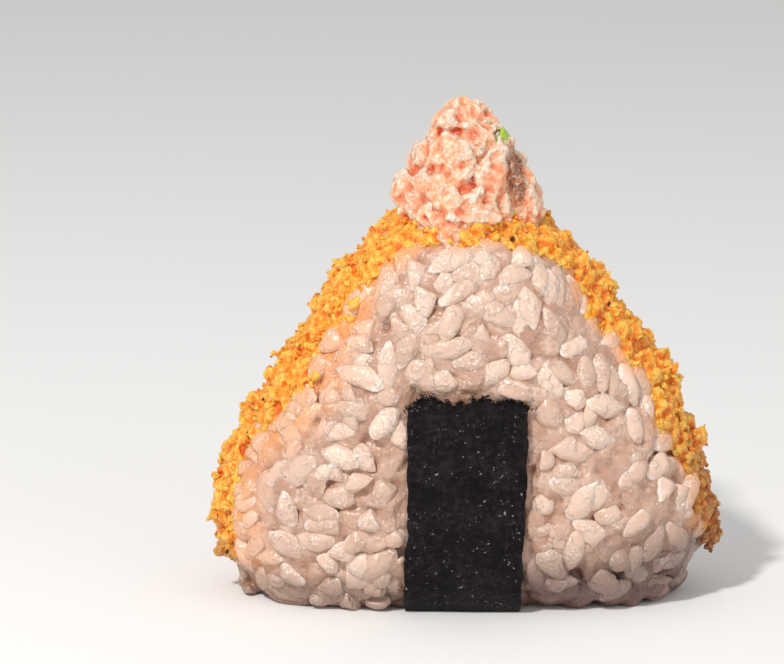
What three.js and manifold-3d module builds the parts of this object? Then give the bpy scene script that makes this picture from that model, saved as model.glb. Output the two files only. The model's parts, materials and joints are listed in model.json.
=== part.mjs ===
// Onigiri: a pressed triangle of cooked rice with a fried crumb coat round its slopes and tip,
// a strip of nori folded under its base, flaked salmon piled on the tip and a spring onion chip.
// Millimetres, +Z up. The front face looks along -Y and +X is to the right of it.
// The origin is the middle of the flat base.

import * as THREE from 'three';
import { mergeVertices } from 'three/addons/utils/BufferGeometryUtils.js';
import Module from 'manifold-3d';

const wasm = await Module();
wasm.setup();

// ---- Driving dimensions ----

// Bare rice body: its outline is the hull of four circles, seen from the front.
const LEFT_CORNER_RADIUS = 17;
const LEFT_CORNER_X = -21;
const RIGHT_CORNER_RADIUS = 18;
const RIGHT_CORNER_X = 19.7;
const RIGHT_SWELL = [14.2, 29.5, 16.8]; // x, z and radius: the right slope bulges a little
const TIP_RADIUS = 20.5;
const TIP_X = 0.5;
const TIP_Z = 42.3;
const BASE_CUT = 3; // height of the rounded underside that is pressed flat
const BODY_DEPTH = 33; // front to back at the middle
const EDGE_POWER = 4.4; // higher is a flatter face with a tighter rounded edge
const SECTION_POWER = 2.1;
const HAND_LUMPS = 0.45; // shallow dents and swellings left by the hands
const BODY_CENTRE_Z = 27;
const FACE_LEAN = 0.62; // brings the skin's rows closer to the rounded edge

// Cooked short-grain rice.
const GRAIN_LENGTH = [6.2, 7.9];
const GRAIN_WIDTH = [3.1, 3.9];
const GRAIN_THICKNESS = 3.2;
const GRAIN_SIDES = 5;
const GRAIN_SPACING = 4.7;
const GRAIN_TILT = 0.38; // radians out of the surface, at most
const GRAIN_LIFT = [0, 0.75];
const GRAIN_TRIES = 30000;
const GRAIN_LIMIT = 150;
const GRAIN_CLEAR = 0.6; // from the coat's edge

// Fried crumb coat.
const COAT_THICKNESS = 1.75;
const COAT_EDGE_THICKNESS = 0.7;
const COAT_THIN = 0.7; // less at its lower left end
const COAT_CRAG = 0.9; // height of the crags, up and down
const COAT_BAND = 2.5; // how far it comes in over the front and back faces
const COAT_TIP_BAND = 3.8; // the same below the tip
const COAT_LOW_BAND = 1.3; // and beside the bottom left corner
const COAT_LEFT_END_Z = 7.5;
const COAT_RIGHT_END_Z = 11.5;
const COAT_ROWS = 46;
const COAT_COLUMNS = 6;
const CRUMB_COUNT = 16;
const CRUMB_RADIUS = [1.2, 2.0];
const CRUMB_HEIGHT = 1.2;
const CRUMB_SINK = 0.3;
// Clumps and spikes that stand out of the coat's outline: [x, z, radius].
const COAT_CLUMPS = [
  [36, 12.9, 3.2],
  [36, 23, 1.7],
  [16.5, 60, 2.6],
  [-31, 40.4, 2.0],
  [-36, 29.6, 1.6],
  [-39, 20.5, 1.7],
  [-38, 11.5, 1.5],
];

// Nori strip.
const NORI_WIDTH = 19;
const NORI_TOP_Z = 35.5;
const NORI_THICKNESS = 0.7;
const NORI_LIFT = 2.0; // outer face above the bare rice body
const NORI_WAVE = 0.22;
const NORI_TEAR = 0.9; // height of the teeth along its torn ends
const NORI_STEP_OUT = 0.5; // the left edge is wider near the base
const NORI_TAPER = 0.75; // the right edge comes in towards the base
const NORI_PAD_WIDTH = NORI_WIDTH - 1.8; // rice pressed level under the strip
const NORI_PAD_DEPTH = 6;
const NORI_ROWS = 30;
const NORI_COLUMNS = 6;

// Flaked salmon topping.
const TOPPING_WIDTH = 25.6;
const TOPPING_DEPTH = 24;
const TOPPING_PEAK_Z = 81.6;
const TOPPING_X = 0.2;
const TOPPING_LEAN = 1.4; // how far the peak leans to the left
const TOPPING_RAG = 0.55; // unevenness of the mound between its flakes
const FLAKE_COUNT = 24;
const FLAKE_LENGTH = [5, 9];
const TONGUE_SIZE = [3.3, 2.1, 4.8]; // half sizes of the lobe that hangs over the front
const TONGUE_AT = [1.8, -9, 62.3];

// Spring onion chip: a cut piece of a hollow leaf.
const ONION_RADIUS = 2.3;
const ONION_WALL = 0.9;
const ONION_LENGTH = 2.6;
const ONION_ARC = [0.2, 2.6]; // the part of the ring that is left, in radians
const ONION_TURN = -0.9;
const ONION_LEAN = 0.5;
const ONION_PLACE = [4.7, 2.6, 74.8];

const GAP = 0.3; // between pieces that touch
const COAT_LIFT = GAP + 0.2; // its flat facets sag between their corners
const TOPPING_LIFT = COAT_LIFT + COAT_THICKNESS + GAP; // above the bare rice body
const CUT_DEPTH = 20; // of the block that presses the base flat

// ---- Small tools ----

// Seeded random numbers, so that every build is the same.
function makeRandom(seed) {
  let state = seed;
  return () => {
    state = (state + 0x6d2b79f5) | 0;
    let mixed = Math.imul(state ^ (state >>> 15), 1 | state);
    mixed = (mixed + Math.imul(mixed ^ (mixed >>> 7), 61 | mixed)) ^ mixed;
    return ((mixed ^ (mixed >>> 14)) >>> 0) / 4294967296;
  };
}

function between(random, [low, high]) {
  return low + (high - low) * random();
}

// A smooth wavy value from -1 to 1 over a surface or in space.
function ripple(x, y, z, scale) {
  const first = Math.sin(x / scale + 1.7 * Math.sin(z / scale + 0.4));
  const second = Math.sin(z / scale + 1.3 * Math.sin(y / scale + 2.1));
  const third = Math.sin(y / scale + 1.5 * Math.sin(x / scale + 4.0));
  return (first + second + third) / 3;
}

// From 0 at "from" to 1 at "to" with soft ends, whichever of the two is larger.
function smoothStep(from, to, value) {
  const share = THREE.MathUtils.clamp((value - from) / (to - from), 0, 1);
  return share * share * (3 - 2 * share);
}

// Only the positions, so that corners at one place can be merged.
function bareGeometry(geometry) {
  const bare = geometry.clone();
  bare.deleteAttribute('normal');
  bare.deleteAttribute('uv');
  return bare;
}

// A closed three.js geometry becomes a solid that can be joined and cut.
function toSolid(geometry) {
  const merged = mergeVertices(bareGeometry(geometry), 1e-4);
  return new wasm.Manifold(new wasm.Mesh({
    numProp: 3,
    vertProperties: new Float32Array(merged.attributes.position.array),
    triVerts: new Uint32Array(merged.index.array),
  }));
}

// The largest body of a solid: loose scraps and sealed hollows are left out.
function toGeometry(solid) {
  const bodies = solid.decompose();
  const largest = bodies.reduce((best, body) => (body.volume() > best.volume() ? body : best));
  const mesh = largest.getMesh();
  const geometry = new THREE.BufferGeometry();
  geometry.setAttribute('position', new THREE.BufferAttribute(mesh.vertProperties, 3));
  geometry.setIndex(new THREE.BufferAttribute(mesh.triVerts, 1));
  geometry.computeVertexNormals();
  return geometry;
}

// A sheet with two faces split alike: outer[i][j] and inner[i][j] are rows of Vector3.
// The rows run so that the outer face points out.
function sheetGeometry(outer, inner) {
  const rows = outer.length;
  const columns = outer[0].length;
  const positions = [];
  for (const face of [outer, inner]) {
    for (const row of face) {
      for (const point of row) {
        positions.push(point.x, point.y, point.z);
      }
    }
  }
  const inside = rows * columns;
  const at = (i, j) => i * columns + j;
  const faces = [];
  const quad = (a, b, c, d) => faces.push(a, b, c, a, c, d);
  for (let i = 0; i < rows - 1; i++) {
    for (let j = 0; j < columns - 1; j++) {
      quad(at(i, j), at(i, j + 1), at(i + 1, j + 1), at(i + 1, j));
      quad(inside + at(i, j), inside + at(i + 1, j), inside + at(i + 1, j + 1), inside + at(i, j + 1));
    }
  }
  for (let i = 0; i < rows - 1; i++) {
    const last = columns - 1;
    quad(at(i, 0), at(i + 1, 0), inside + at(i + 1, 0), inside + at(i, 0));
    quad(at(i + 1, last), at(i, last), inside + at(i, last), inside + at(i + 1, last));
  }
  for (let j = 0; j < columns - 1; j++) {
    const last = rows - 1;
    quad(at(0, j + 1), at(0, j), inside + at(0, j), inside + at(0, j + 1));
    quad(at(last, j), at(last, j + 1), inside + at(last, j + 1), inside + at(last, j));
  }
  const geometry = new THREE.BufferGeometry();
  geometry.setAttribute('position', new THREE.Float32BufferAttribute(positions, 3));
  geometry.setIndex(faces);
  return geometry;
}

// ---- The bare body's surface ----

const OUTLINE_CIRCLES = [
  [LEFT_CORNER_X, LEFT_CORNER_RADIUS - BASE_CUT, LEFT_CORNER_RADIUS],
  [RIGHT_CORNER_X, RIGHT_CORNER_RADIUS - BASE_CUT, RIGHT_CORNER_RADIUS],
  RIGHT_SWELL,
  [TIP_X, TIP_Z, TIP_RADIUS],
];

// Distance from the body's middle line to the outline, in one direction of the XZ plane.
function outlineRadius(angle) {
  let radius = Infinity;
  for (let step = 0; step < 360; step++) {
    const normal = THREE.MathUtils.degToRad(step);
    const along = Math.cos(normal - angle);
    if (along < 0.3) {
      continue;
    }
    const reach = Math.max(...OUTLINE_CIRCLES.map(([x, z, size]) => (
      x * Math.cos(normal) + (z - BODY_CENTRE_Z) * Math.sin(normal) + size)));
    radius = Math.min(radius, reach / along);
  }
  return radius;
}

const OUTLINE_STEPS = 720;
const outline = Array.from(
  { length: OUTLINE_STEPS + 1 },
  (_, step) => outlineRadius((step / OUTLINE_STEPS) * 2 * Math.PI),
);

function outlineAt(angle) {
  const turn = THREE.MathUtils.euclideanModulo(angle / (2 * Math.PI), 1) * OUTLINE_STEPS;
  const step = Math.floor(turn);
  return THREE.MathUtils.lerp(outline[step], outline[step + 1], turn - step);
}

// Below 0 inside the bare body, above 0 outside.
function bodyValue(point) {
  const angle = Math.atan2(point.z - BODY_CENTRE_Z, point.x);
  const radius = Math.hypot(point.x, point.z - BODY_CENTRE_Z);
  const lumps = 1 + (HAND_LUMPS / TIP_RADIUS) * ripple(point.x, point.y, point.z, 8);
  const edge = (radius / (outlineAt(angle) * lumps)) ** EDGE_POWER;
  const section = Math.abs(point.y / (0.5 * BODY_DEPTH * lumps)) ** SECTION_POWER;
  return edge + section - 1;
}

function bodyNormal(point) {
  const step = 0.05;
  const slope = (axis) => {
    const before = point.clone();
    const after = point.clone();
    before[axis] -= step;
    after[axis] += step;
    return bodyValue(after) - bodyValue(before);
  };
  return new THREE.Vector3(slope('x'), slope('y'), slope('z')).normalize();
}

// Where a ray from a start point inside the body leaves its surface.
function bodyPoint(start, direction) {
  let inside = 0;
  let outside = 90;
  for (let step = 0; step < 30; step++) {
    const middle = (inside + outside) / 2;
    if (bodyValue(start.clone().addScaledVector(direction, middle)) < 0) {
      inside = middle;
    } else {
      outside = middle;
    }
  }
  return start.clone().addScaledVector(direction, inside);
}

const BODY_CENTRE = new THREE.Vector3(0, 0, BODY_CENTRE_Z);

// Where a small piece goes: its Y axis lies along the surface and its Z axis points out of it.
function placeOn(point, normal, turn, tilt, lift) {
  const helper = Math.abs(normal.z) < 0.8 ? new THREE.Vector3(0, 0, 1) : new THREE.Vector3(1, 0, 0);
  const level = new THREE.Vector3().crossVectors(helper, normal).normalize();
  const upright = new THREE.Vector3().crossVectors(normal, level);
  const along = level.multiplyScalar(Math.cos(turn)).addScaledVector(upright, Math.sin(turn));
  along.multiplyScalar(Math.cos(tilt)).addScaledVector(normal, Math.sin(tilt));
  const side = new THREE.Vector3().crossVectors(along, normal).normalize();
  const out = new THREE.Vector3().crossVectors(side, along);
  return new THREE.Matrix4()
    .makeBasis(side, along, out)
    .setPosition(point.clone().addScaledVector(normal, lift));
}

// Where the topping stands on the coat, which is smooth there.
function underTopping(point) {
  return point.z > 50 && Math.abs(point.x) < 0.5 * TOPPING_WIDTH;
}

// A closed skin over the bare body, raised above it by an even height.
// "around" counts steps round the outline and "across" from the back face's middle to the front's.
function bodyGeometry(raised, around, across) {
  const geometry = new THREE.SphereGeometry(1, around, across);
  const place = geometry.attributes.position;
  for (let index = 0; index < place.count; index++) {
    const direction = new THREE.Vector3().fromBufferAttribute(place, index);
    direction.y *= FACE_LEAN;
    const point = bodyPoint(BODY_CENTRE, direction.normalize());
    point.addScaledVector(bodyNormal(point), raised);
    place.setXYZ(index, point.x, point.y, point.z);
  }
  return geometry;
}

// ---- Nori: one strip from the front face, under the base and up the back ----

function noriHalfWidth(height, side) {
  const waver = 0.18 * Math.sin(0.9 * height + side);
  const stepOut = side < 0 ? NORI_STEP_OUT * smoothStep(13, 10.5, height) : 0;
  const taper = side > 0 ? NORI_TAPER * smoothStep(30, 2, height) : 0;
  return 0.5 * NORI_WIDTH - 0.2 + stepOut - taper + waver;
}

// Height of the torn end at a share of the width, -1 left to 1 right: teeth, a notch in the
// middle and rounded corners.
function noriTopZ(share) {
  const teeth = 0.5 * Math.sin(7 * share + 0.5);
  const notch = 0.9 * Math.exp(-((share / 0.16) ** 2));
  const corner = 5.2 * Math.max(0, Math.abs(share) - 0.75);
  return NORI_TOP_Z + NORI_TEAR * (teeth - notch) - corner;
}

// A line over the bare body in one plane of constant x, from the front face's top edge,
// under the base and up the back.
function noriPath(x, lift, topZ) {
  const start = new THREE.Vector3(x, 0, BODY_CENTRE_Z);
  const steps = 240;
  const path = [];
  for (let step = 0; step <= steps; step++) {
    const angle = THREE.MathUtils.lerp(-0.75, Math.PI + 0.75, step / steps);
    const direction = new THREE.Vector3(0, -Math.cos(angle), -Math.sin(angle));
    const point = bodyPoint(start, direction);
    const normal = bodyNormal(point);
    normal.x = 0;
    point.addScaledVector(normal.normalize(), lift);
    if (point.z < topZ) {
      path.push(new THREE.Vector3(x, point.y, Math.max(0, point.z)));
    }
  }
  return path;
}

// Points spread evenly along a fine path.
function evenPoints(path, count) {
  const lengths = [0];
  for (let step = 1; step < path.length; step++) {
    lengths.push(lengths[step - 1] + path[step].distanceTo(path[step - 1]));
  }
  const total = lengths[lengths.length - 1];
  const points = [];
  let step = 1;
  for (let index = 0; index <= count; index++) {
    const target = (total * index) / count;
    while (step < path.length - 1 && lengths[step] < target) {
      step++;
    }
    const share = (target - lengths[step - 1]) / (lengths[step] - lengths[step - 1]);
    points.push(path[step - 1].clone().lerp(path[step], THREE.MathUtils.clamp(share, 0, 1)));
  }
  return points;
}

// The strip, or with "room" above 0 the space that the rice leaves free for it.
function noriGeometry(room) {
  const outer = [];
  const inner = [];
  for (let column = 0; column <= NORI_COLUMNS; column++) {
    const share = (2 * column) / NORI_COLUMNS - 1;
    const fine = noriPath(share * 0.5 * NORI_WIDTH, NORI_LIFT, noriTopZ(share) + room);
    const path = evenPoints(fine, NORI_ROWS);
    const outerRow = [];
    const innerRow = [];
    path.forEach((point, index) => {
      const before = path[Math.max(0, index - 1)];
      const after = path[Math.min(NORI_ROWS, index + 1)];
      const inward = new THREE.Vector3(0, before.z - after.z, after.y - before.y).normalize();
      const wave = NORI_WAVE * smoothStep(1.5, 5, point.z) * ripple(1.6 * point.x, 9, point.z, 2.1);
      const face = point.clone().addScaledVector(inward, -wave);
      face.x = share * (noriHalfWidth(point.z, Math.sign(share)) + room);
      face.z = Math.max(0, face.z);
      outerRow.push(face.clone().addScaledVector(inward, -2 * room));
      innerRow.push(face.addScaledVector(inward, NORI_THICKNESS + room));
    });
    outer.push(outerRow);
    inner.push(innerRow);
  }
  return sheetGeometry(outer, inner);
}

// ---- Crumb coat: a craggy skin over both slopes, the tip and the rounded edges ----

// A direction from the body's middle line, from -90 degrees below it round to 270.
function directionOf(x, z) {
  const angle = Math.atan2(z - BODY_CENTRE_Z, x);
  return angle < -0.5 * Math.PI ? angle + 2 * Math.PI : angle;
}

const COAT_START = directionOf(RIGHT_CORNER_X + RIGHT_CORNER_RADIUS, COAT_RIGHT_END_Z);
const COAT_END = directionOf(LEFT_CORNER_X - LEFT_CORNER_RADIUS, COAT_LEFT_END_Z);

// How far the coat reaches in over a face, measured from the outline.
function coatBand(angle) {
  const low = smoothStep(Math.PI - 0.25, Math.PI + 0.1, angle);
  const tip = smoothStep(0.7, 0.3, Math.abs(angle - 0.5 * Math.PI));
  const wander = 0.5 * Math.sin(9 * angle + 1) + 0.3 * Math.sin(17 * angle);
  const band = THREE.MathUtils.lerp(COAT_BAND, COAT_TIP_BAND, tip);
  return THREE.MathUtils.lerp(band, COAT_LOW_BAND, low) + wander;
}

// A point of the bare body under the coat, in one direction round the outline and at a share
// of the way from the outline (0) to the coat's edge on the front (1) or the back (-1).
function coatPoint(angle, share) {
  const reach = outlineAt(angle);
  const edgeRadius = reach - coatBand(angle);
  const edgeDepth = 0.5 * BODY_DEPTH
    * (1 - (edgeRadius / reach) ** EDGE_POWER) ** (1 / SECTION_POWER);
  const slant = share * Math.atan2(edgeDepth, edgeRadius);
  const direction = new THREE.Vector3(
    Math.cos(slant) * Math.cos(angle),
    -Math.sin(slant),
    Math.cos(slant) * Math.sin(angle),
  );
  return bodyPoint(BODY_CENTRE, direction);
}

function coatGeometry(random) {
  const rows = COAT_ROWS;
  const columns = COAT_COLUMNS;
  const outer = [];
  const inner = [];
  for (let row = 0; row <= rows; row++) {
    const angle = THREE.MathUtils.lerp(COAT_START, COAT_END, row / rows);
    const end = Math.min(1, Math.min(row, rows - row) / 2);
    const lower = COAT_THIN * smoothStep(Math.PI - 0.3, Math.PI + 0.1, angle);
    const outerRow = [];
    const innerRow = [];
    for (let column = 0; column <= columns; column++) {
      const share = 1 - (2 * column) / columns;
      const point = coatPoint(angle, share);
      const normal = bodyNormal(point);
      const middle = Math.min(1, 1.8 * (1 - Math.abs(share))) * end;
      const crags = underTopping(point) ? 0 : COAT_CRAG * between(random, [-1, 1]);
      const thickness = Math.max(COAT_EDGE_THICKNESS, COAT_THICKNESS - lower + crags);
      innerRow.push(point.clone().addScaledVector(normal, COAT_LIFT));
      const height = COAT_LIFT + THREE.MathUtils.lerp(COAT_EDGE_THICKNESS, thickness, middle);
      outerRow.push(point.clone().addScaledVector(normal, height));
    }
    outer.push(outerRow);
    inner.push(innerRow);
  }
  return sheetGeometry(outer, inner);
}

// Whether a point above the rice lies where the coat is, or nearer to it than a margin.
function nearCoat(point, margin) {
  const angle = directionOf(point.x, point.z);
  const reach = outlineAt(angle);
  const slack = margin / reach;
  if (angle < COAT_START - slack || angle > COAT_END + slack) {
    return false;
  }
  const radius = Math.hypot(point.x, point.z - BODY_CENTRE_Z);
  return radius > reach - coatBand(angle) - margin;
}

// An angular crumb, flatter than it is wide.
function crumbGeometry(random, radius) {
  const crumb = mergeVertices(bareGeometry(new THREE.IcosahedronGeometry(1, 0)), 1e-4);
  const height = Math.min(0.8 * radius, CRUMB_HEIGHT);
  const place = crumb.attributes.position;
  for (let index = 0; index < place.count; index++) {
    const size = between(random, [0.75, 1.25]);
    place.setXYZ(
      index,
      place.getX(index) * size * radius,
      place.getY(index) * size * radius * 1.2,
      place.getZ(index) * size * height,
    );
  }
  return crumb;
}

function fuseCrumb(random, angle, share, radius) {
  const point = coatPoint(angle, share);
  const crumb = crumbGeometry(random, radius);
  const lift = COAT_LIFT + COAT_THICKNESS - CRUMB_SINK;
  crumb.applyMatrix4(placeOn(point, bodyNormal(point), Math.PI * random(), 0.2 * random(), lift));
  return toSolid(crumb);
}

function makeCoat() {
  const random = makeRandom(41);
  const pieces = [toSolid(coatGeometry(random))];
  for (const [x, z, radius] of COAT_CLUMPS) {
    pieces.push(fuseCrumb(random, directionOf(x, z), between(random, [0, 0.3]), radius));
  }
  for (let count = 0; count < CRUMB_COUNT; count++) {
    const spread = (count + 0.8 * random()) / CRUMB_COUNT;
    const angle = THREE.MathUtils.lerp(COAT_START + 0.06, COAT_END - 0.06, spread);
    const share = between(random, [-0.6, 0.6]);
    const radius = between(random, CRUMB_RADIUS);
    if (!underTopping(coatPoint(angle, share))) {
      pieces.push(fuseCrumb(random, angle, share, radius));
    }
  }
  return toGeometry(wasm.Manifold.union(pieces));
}

// ---- Rice: the pressed body with the grains that show fused on ----

function grainGeometry(random, length) {
  const geometry = new THREE.SphereGeometry(1, GRAIN_SIDES, 3);
  geometry.scale(0.5 * between(random, GRAIN_WIDTH), 0.5 * length, 0.5 * GRAIN_THICKNESS);
  const place = geometry.attributes.position;
  const taper = between(random, [-0.12, 0.12]);
  for (let index = 0; index < place.count; index++) {
    const along = place.getY(index) / length;
    const narrow = 1 + taper * along * 2;
    place.setXYZ(index, place.getX(index) * narrow, place.getY(index), place.getZ(index) * narrow);
  }
  return geometry;
}

// Where the topping's lobe hangs over the front edge no grain stands.
function underTongue(point) {
  const low = TONGUE_AT[2] - TONGUE_SIZE[2] - 1;
  return point.z > low && point.y < 0 && Math.abs(point.x - TONGUE_AT[0]) < TONGUE_SIZE[0] + 1.5;
}

function grainFits(geometry) {
  const place = geometry.attributes.position;
  const point = new THREE.Vector3();
  for (let index = 0; index < place.count; index++) {
    point.fromBufferAttribute(place, index);
    if (nearCoat(point, GRAIN_CLEAR) || underTongue(point)) {
      return false;
    }
  }
  return true;
}

// The rice under the nori is pressed level with the tops of the grains beside it.
function padGeometry() {
  const columns = 4;
  const outer = [];
  const inner = [];
  for (let column = 0; column <= columns; column++) {
    const x = NORI_PAD_WIDTH * (column / columns - 0.5);
    const middle = new THREE.Vector3(x, 0, BODY_CENTRE_Z);
    const path = evenPoints(noriPath(x, NORI_LIFT - GAP, NORI_TOP_Z - 0.8), 26);
    outer.push(path);
    inner.push(path.map((point) => {
      const inward = middle.clone().sub(point).normalize();
      return point.clone().addScaledVector(inward, NORI_PAD_DEPTH);
    }));
  }
  return sheetGeometry(outer, inner);
}

function makeRice() {
  const random = makeRandom(7);
  const taken = [];
  const grains = [];
  for (let tried = 0; tried < GRAIN_TRIES && grains.length < GRAIN_LIMIT; tried++) {
    const turn = 2 * Math.PI * random();
    const slant = Math.acos(2 * random() - 1);
    const direction = new THREE.Vector3(
      Math.sin(slant) * Math.cos(turn),
      0.6 * Math.cos(slant),
      Math.sin(slant) * Math.sin(turn),
    ).normalize();
    const point = bodyPoint(BODY_CENTRE, direction);
    const crowded = taken.some((other) => other.distanceTo(point) < GRAIN_SPACING);
    const underNori = Math.abs(point.x) < 0.5 * NORI_WIDTH + 0.6 && point.z < NORI_TOP_Z + 0.6;
    if (crowded || underNori || point.z < 0.3) {
      continue;
    }
    const early = 1 - grains.length / GRAIN_LIMIT;
    const length = THREE.MathUtils.lerp(...GRAIN_LENGTH, 0.6 * early + 0.4 * random());
    const grain = grainGeometry(random, length);
    const tilt = between(random, [-GRAIN_TILT, GRAIN_TILT]);
    const lift = between(random, GRAIN_LIFT);
    grain.applyMatrix4(placeOn(point, bodyNormal(point), Math.PI * random(), tilt, lift));
    if (grainFits(grain)) {
      taken.push(point);
      grains.push(toSolid(grain));
    }
  }
  const body = toSolid(bodyGeometry(0, 30, 12));
  const pad = toSolid(padGeometry());
  const below = new THREE.BoxGeometry(200, 200, CUT_DEPTH);
  below.translate(0, 0, -0.5 * CUT_DEPTH);
  const rice = wasm.Manifold.union([body, pad, ...grains])
    .subtract(toSolid(below))
    .subtract(toSolid(noriGeometry(GAP)));
  return toGeometry(rice);
}

// ---- Salmon: a mound of torn flakes ----

// Half width of the mound at a height above its foot, as a share of its half width.
function moundShare(rise) {
  return Math.max(0, 1 - rise ** 1.7) ** 0.75;
}

const TOPPING_FOOT_Z = TIP_Z + TIP_RADIUS - 8;
const TOPPING_RISE = TOPPING_PEAK_Z - TOPPING_FOOT_Z;

function moundPoint(turn, rise) {
  const wobble = 1 + 0.07 * Math.sin(3 * turn + 4 * rise) + 0.05 * Math.sin(5 * turn - 3);
  const share = moundShare(rise) * wobble;
  return new THREE.Vector3(
    TOPPING_X - TOPPING_LEAN * rise + 0.5 * TOPPING_WIDTH * share * Math.cos(turn),
    0.5 * TOPPING_DEPTH * share * Math.sin(turn),
    TOPPING_FOOT_Z + TOPPING_RISE * rise,
  );
}

function moundGeometry(random) {
  const geometry = mergeVertices(bareGeometry(new THREE.SphereGeometry(1, 13, 10)), 1e-4);
  const place = geometry.attributes.position;
  for (let index = 0; index < place.count; index++) {
    const unit = new THREE.Vector3().fromBufferAttribute(place, index);
    const rise = 0.48 * (1 + unit.y);
    const onAxis = Math.hypot(unit.x, unit.z) < 0.01;
    const point = moundPoint(Math.atan2(-unit.z, unit.x), rise);
    if (onAxis) {
      point.set(TOPPING_X - TOPPING_LEAN * rise, 0, point.z);
    }
    const ragged = () => TOPPING_RAG * between(random, [-1, 1]);
    place.setXYZ(index, point.x + ragged(), point.y + ragged(), point.z + 0.5 * ragged());
  }
  return geometry;
}

// ---- Spring onion: "grow" gives the room that the topping leaves for the chip ----

function onionGeometry(grow) {
  const shape = new THREE.Shape();
  const outer = ONION_RADIUS + grow;
  const inner = ONION_RADIUS - ONION_WALL - grow;
  shape.absarc(0, 0, outer, ONION_ARC[0], ONION_ARC[1], false);
  shape.absarc(0, 0, inner, ONION_ARC[1], ONION_ARC[0], true);
  shape.closePath();
  const geometry = new THREE.ExtrudeGeometry(shape, {
    depth: ONION_LENGTH + 2 * grow,
    bevelEnabled: false,
    curveSegments: 5,
  });
  geometry.translate(0, 0, -0.5 * ONION_LENGTH - grow);
  geometry.rotateZ(ONION_TURN);
  geometry.rotateX(ONION_LEAN);
  geometry.translate(...ONION_PLACE);
  return geometry;
}

// ---- The topping on its tip ----

function makeTopping() {
  const random = makeRandom(23);
  const pieces = [toSolid(moundGeometry(random))];
  for (let count = 0; count < FLAKE_COUNT; count++) {
    const rise = 0.34 + 0.6 * (count + random()) / FLAKE_COUNT;
    const turn = count * 2.4 + 0.8 * random();
    const point = moundPoint(turn, rise);
    const flake = new THREE.SphereGeometry(0.5, 5, 3);
    const length = between(random, FLAKE_LENGTH) * (1 - 0.35 * rise);
    flake.scale(0.55 * length, length, 0.38 * length);
    const out = new THREE.Vector3(Math.cos(turn), Math.sin(turn), 0.5 * rise).normalize();
    flake.applyMatrix4(placeOn(point, out, Math.PI * random(), between(random, [-0.4, 0.4]), 0.2));
    pieces.push(toSolid(flake));
  }
  const hang = new THREE.Vector3(...TONGUE_AT).sub(BODY_CENTRE).normalize();
  const hangPoint = bodyPoint(BODY_CENTRE, hang);
  const tongue = new THREE.SphereGeometry(1, 8, 6);
  tongue.scale(TONGUE_SIZE[0], TONGUE_SIZE[2], TONGUE_SIZE[1]);
  tongue.applyMatrix4(placeOn(hangPoint, bodyNormal(hangPoint), Math.PI / 2, 0, TOPPING_LIFT));
  pieces.push(toSolid(tongue));
  const topping = wasm.Manifold.union(pieces)
    .subtract(toSolid(bodyGeometry(TOPPING_LIFT, 48, 16)))
    .subtract(toSolid(onionGeometry(GAP)));
  return toGeometry(topping);
}

// ---- Assembly ----

function makeMesh(name, geometry, color, roughness) {
  const material = new THREE.MeshStandardMaterial({ color, roughness, metalness: 0 });
  const mesh = new THREE.Mesh(geometry, material);
  mesh.name = name;
  return mesh;
}

const group = new THREE.Group();
group.add(makeMesh('rice', makeRice(), 0xe2cdbf, 0.45));
group.add(makeMesh('crumb_coat', makeCoat(), 0xe39a3c, 0.8));
group.add(makeMesh('nori', noriGeometry(0), 0x211d1e, 0.6));
group.add(makeMesh('salmon_topping', makeTopping(), 0xefab8c, 0.5));
group.add(makeMesh('spring_onion', onionGeometry(0), 0x79b51c, 0.5));

// The origin is the middle of the base of the whole object's box.
const box = new THREE.Box3().setFromObject(group);
const middle = box.getCenter(new THREE.Vector3());
group.position.set(-middle.x, -middle.y, -box.min.z);
group.updateMatrixWorld(true);

export default group;
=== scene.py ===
import json

import bpy
import numpy as np
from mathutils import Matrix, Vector
from mathutils.kdtree import KDTree

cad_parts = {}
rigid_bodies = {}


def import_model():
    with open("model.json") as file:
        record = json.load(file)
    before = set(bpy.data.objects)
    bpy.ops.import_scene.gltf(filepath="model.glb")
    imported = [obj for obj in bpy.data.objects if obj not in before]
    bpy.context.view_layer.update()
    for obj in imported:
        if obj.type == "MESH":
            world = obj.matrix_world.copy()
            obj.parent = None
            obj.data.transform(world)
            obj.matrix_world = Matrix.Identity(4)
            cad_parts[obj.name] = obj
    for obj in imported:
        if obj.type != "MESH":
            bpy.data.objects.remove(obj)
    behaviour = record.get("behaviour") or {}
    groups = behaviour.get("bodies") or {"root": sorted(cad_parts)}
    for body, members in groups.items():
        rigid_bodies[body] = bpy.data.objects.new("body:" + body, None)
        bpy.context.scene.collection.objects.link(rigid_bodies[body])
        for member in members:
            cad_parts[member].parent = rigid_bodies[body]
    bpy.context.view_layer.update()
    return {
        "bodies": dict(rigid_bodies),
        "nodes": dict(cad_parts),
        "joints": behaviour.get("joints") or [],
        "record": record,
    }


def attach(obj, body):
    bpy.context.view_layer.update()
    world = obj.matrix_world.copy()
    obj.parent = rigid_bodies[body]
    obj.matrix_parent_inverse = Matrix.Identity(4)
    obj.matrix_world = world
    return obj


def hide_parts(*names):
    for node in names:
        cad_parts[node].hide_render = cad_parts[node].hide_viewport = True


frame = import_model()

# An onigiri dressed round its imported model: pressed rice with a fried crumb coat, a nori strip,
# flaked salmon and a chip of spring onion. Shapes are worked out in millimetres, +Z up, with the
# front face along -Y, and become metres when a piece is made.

# ---- Pressed rice ----
# Cooked short-grain rice, moist and sticky, pressed by hand into a thick triangle. Most grains
# of its skin are squashed into each other, with soft creases between them. Others kept their
# shape and lie half sunk in the skin or on top of it.

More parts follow.
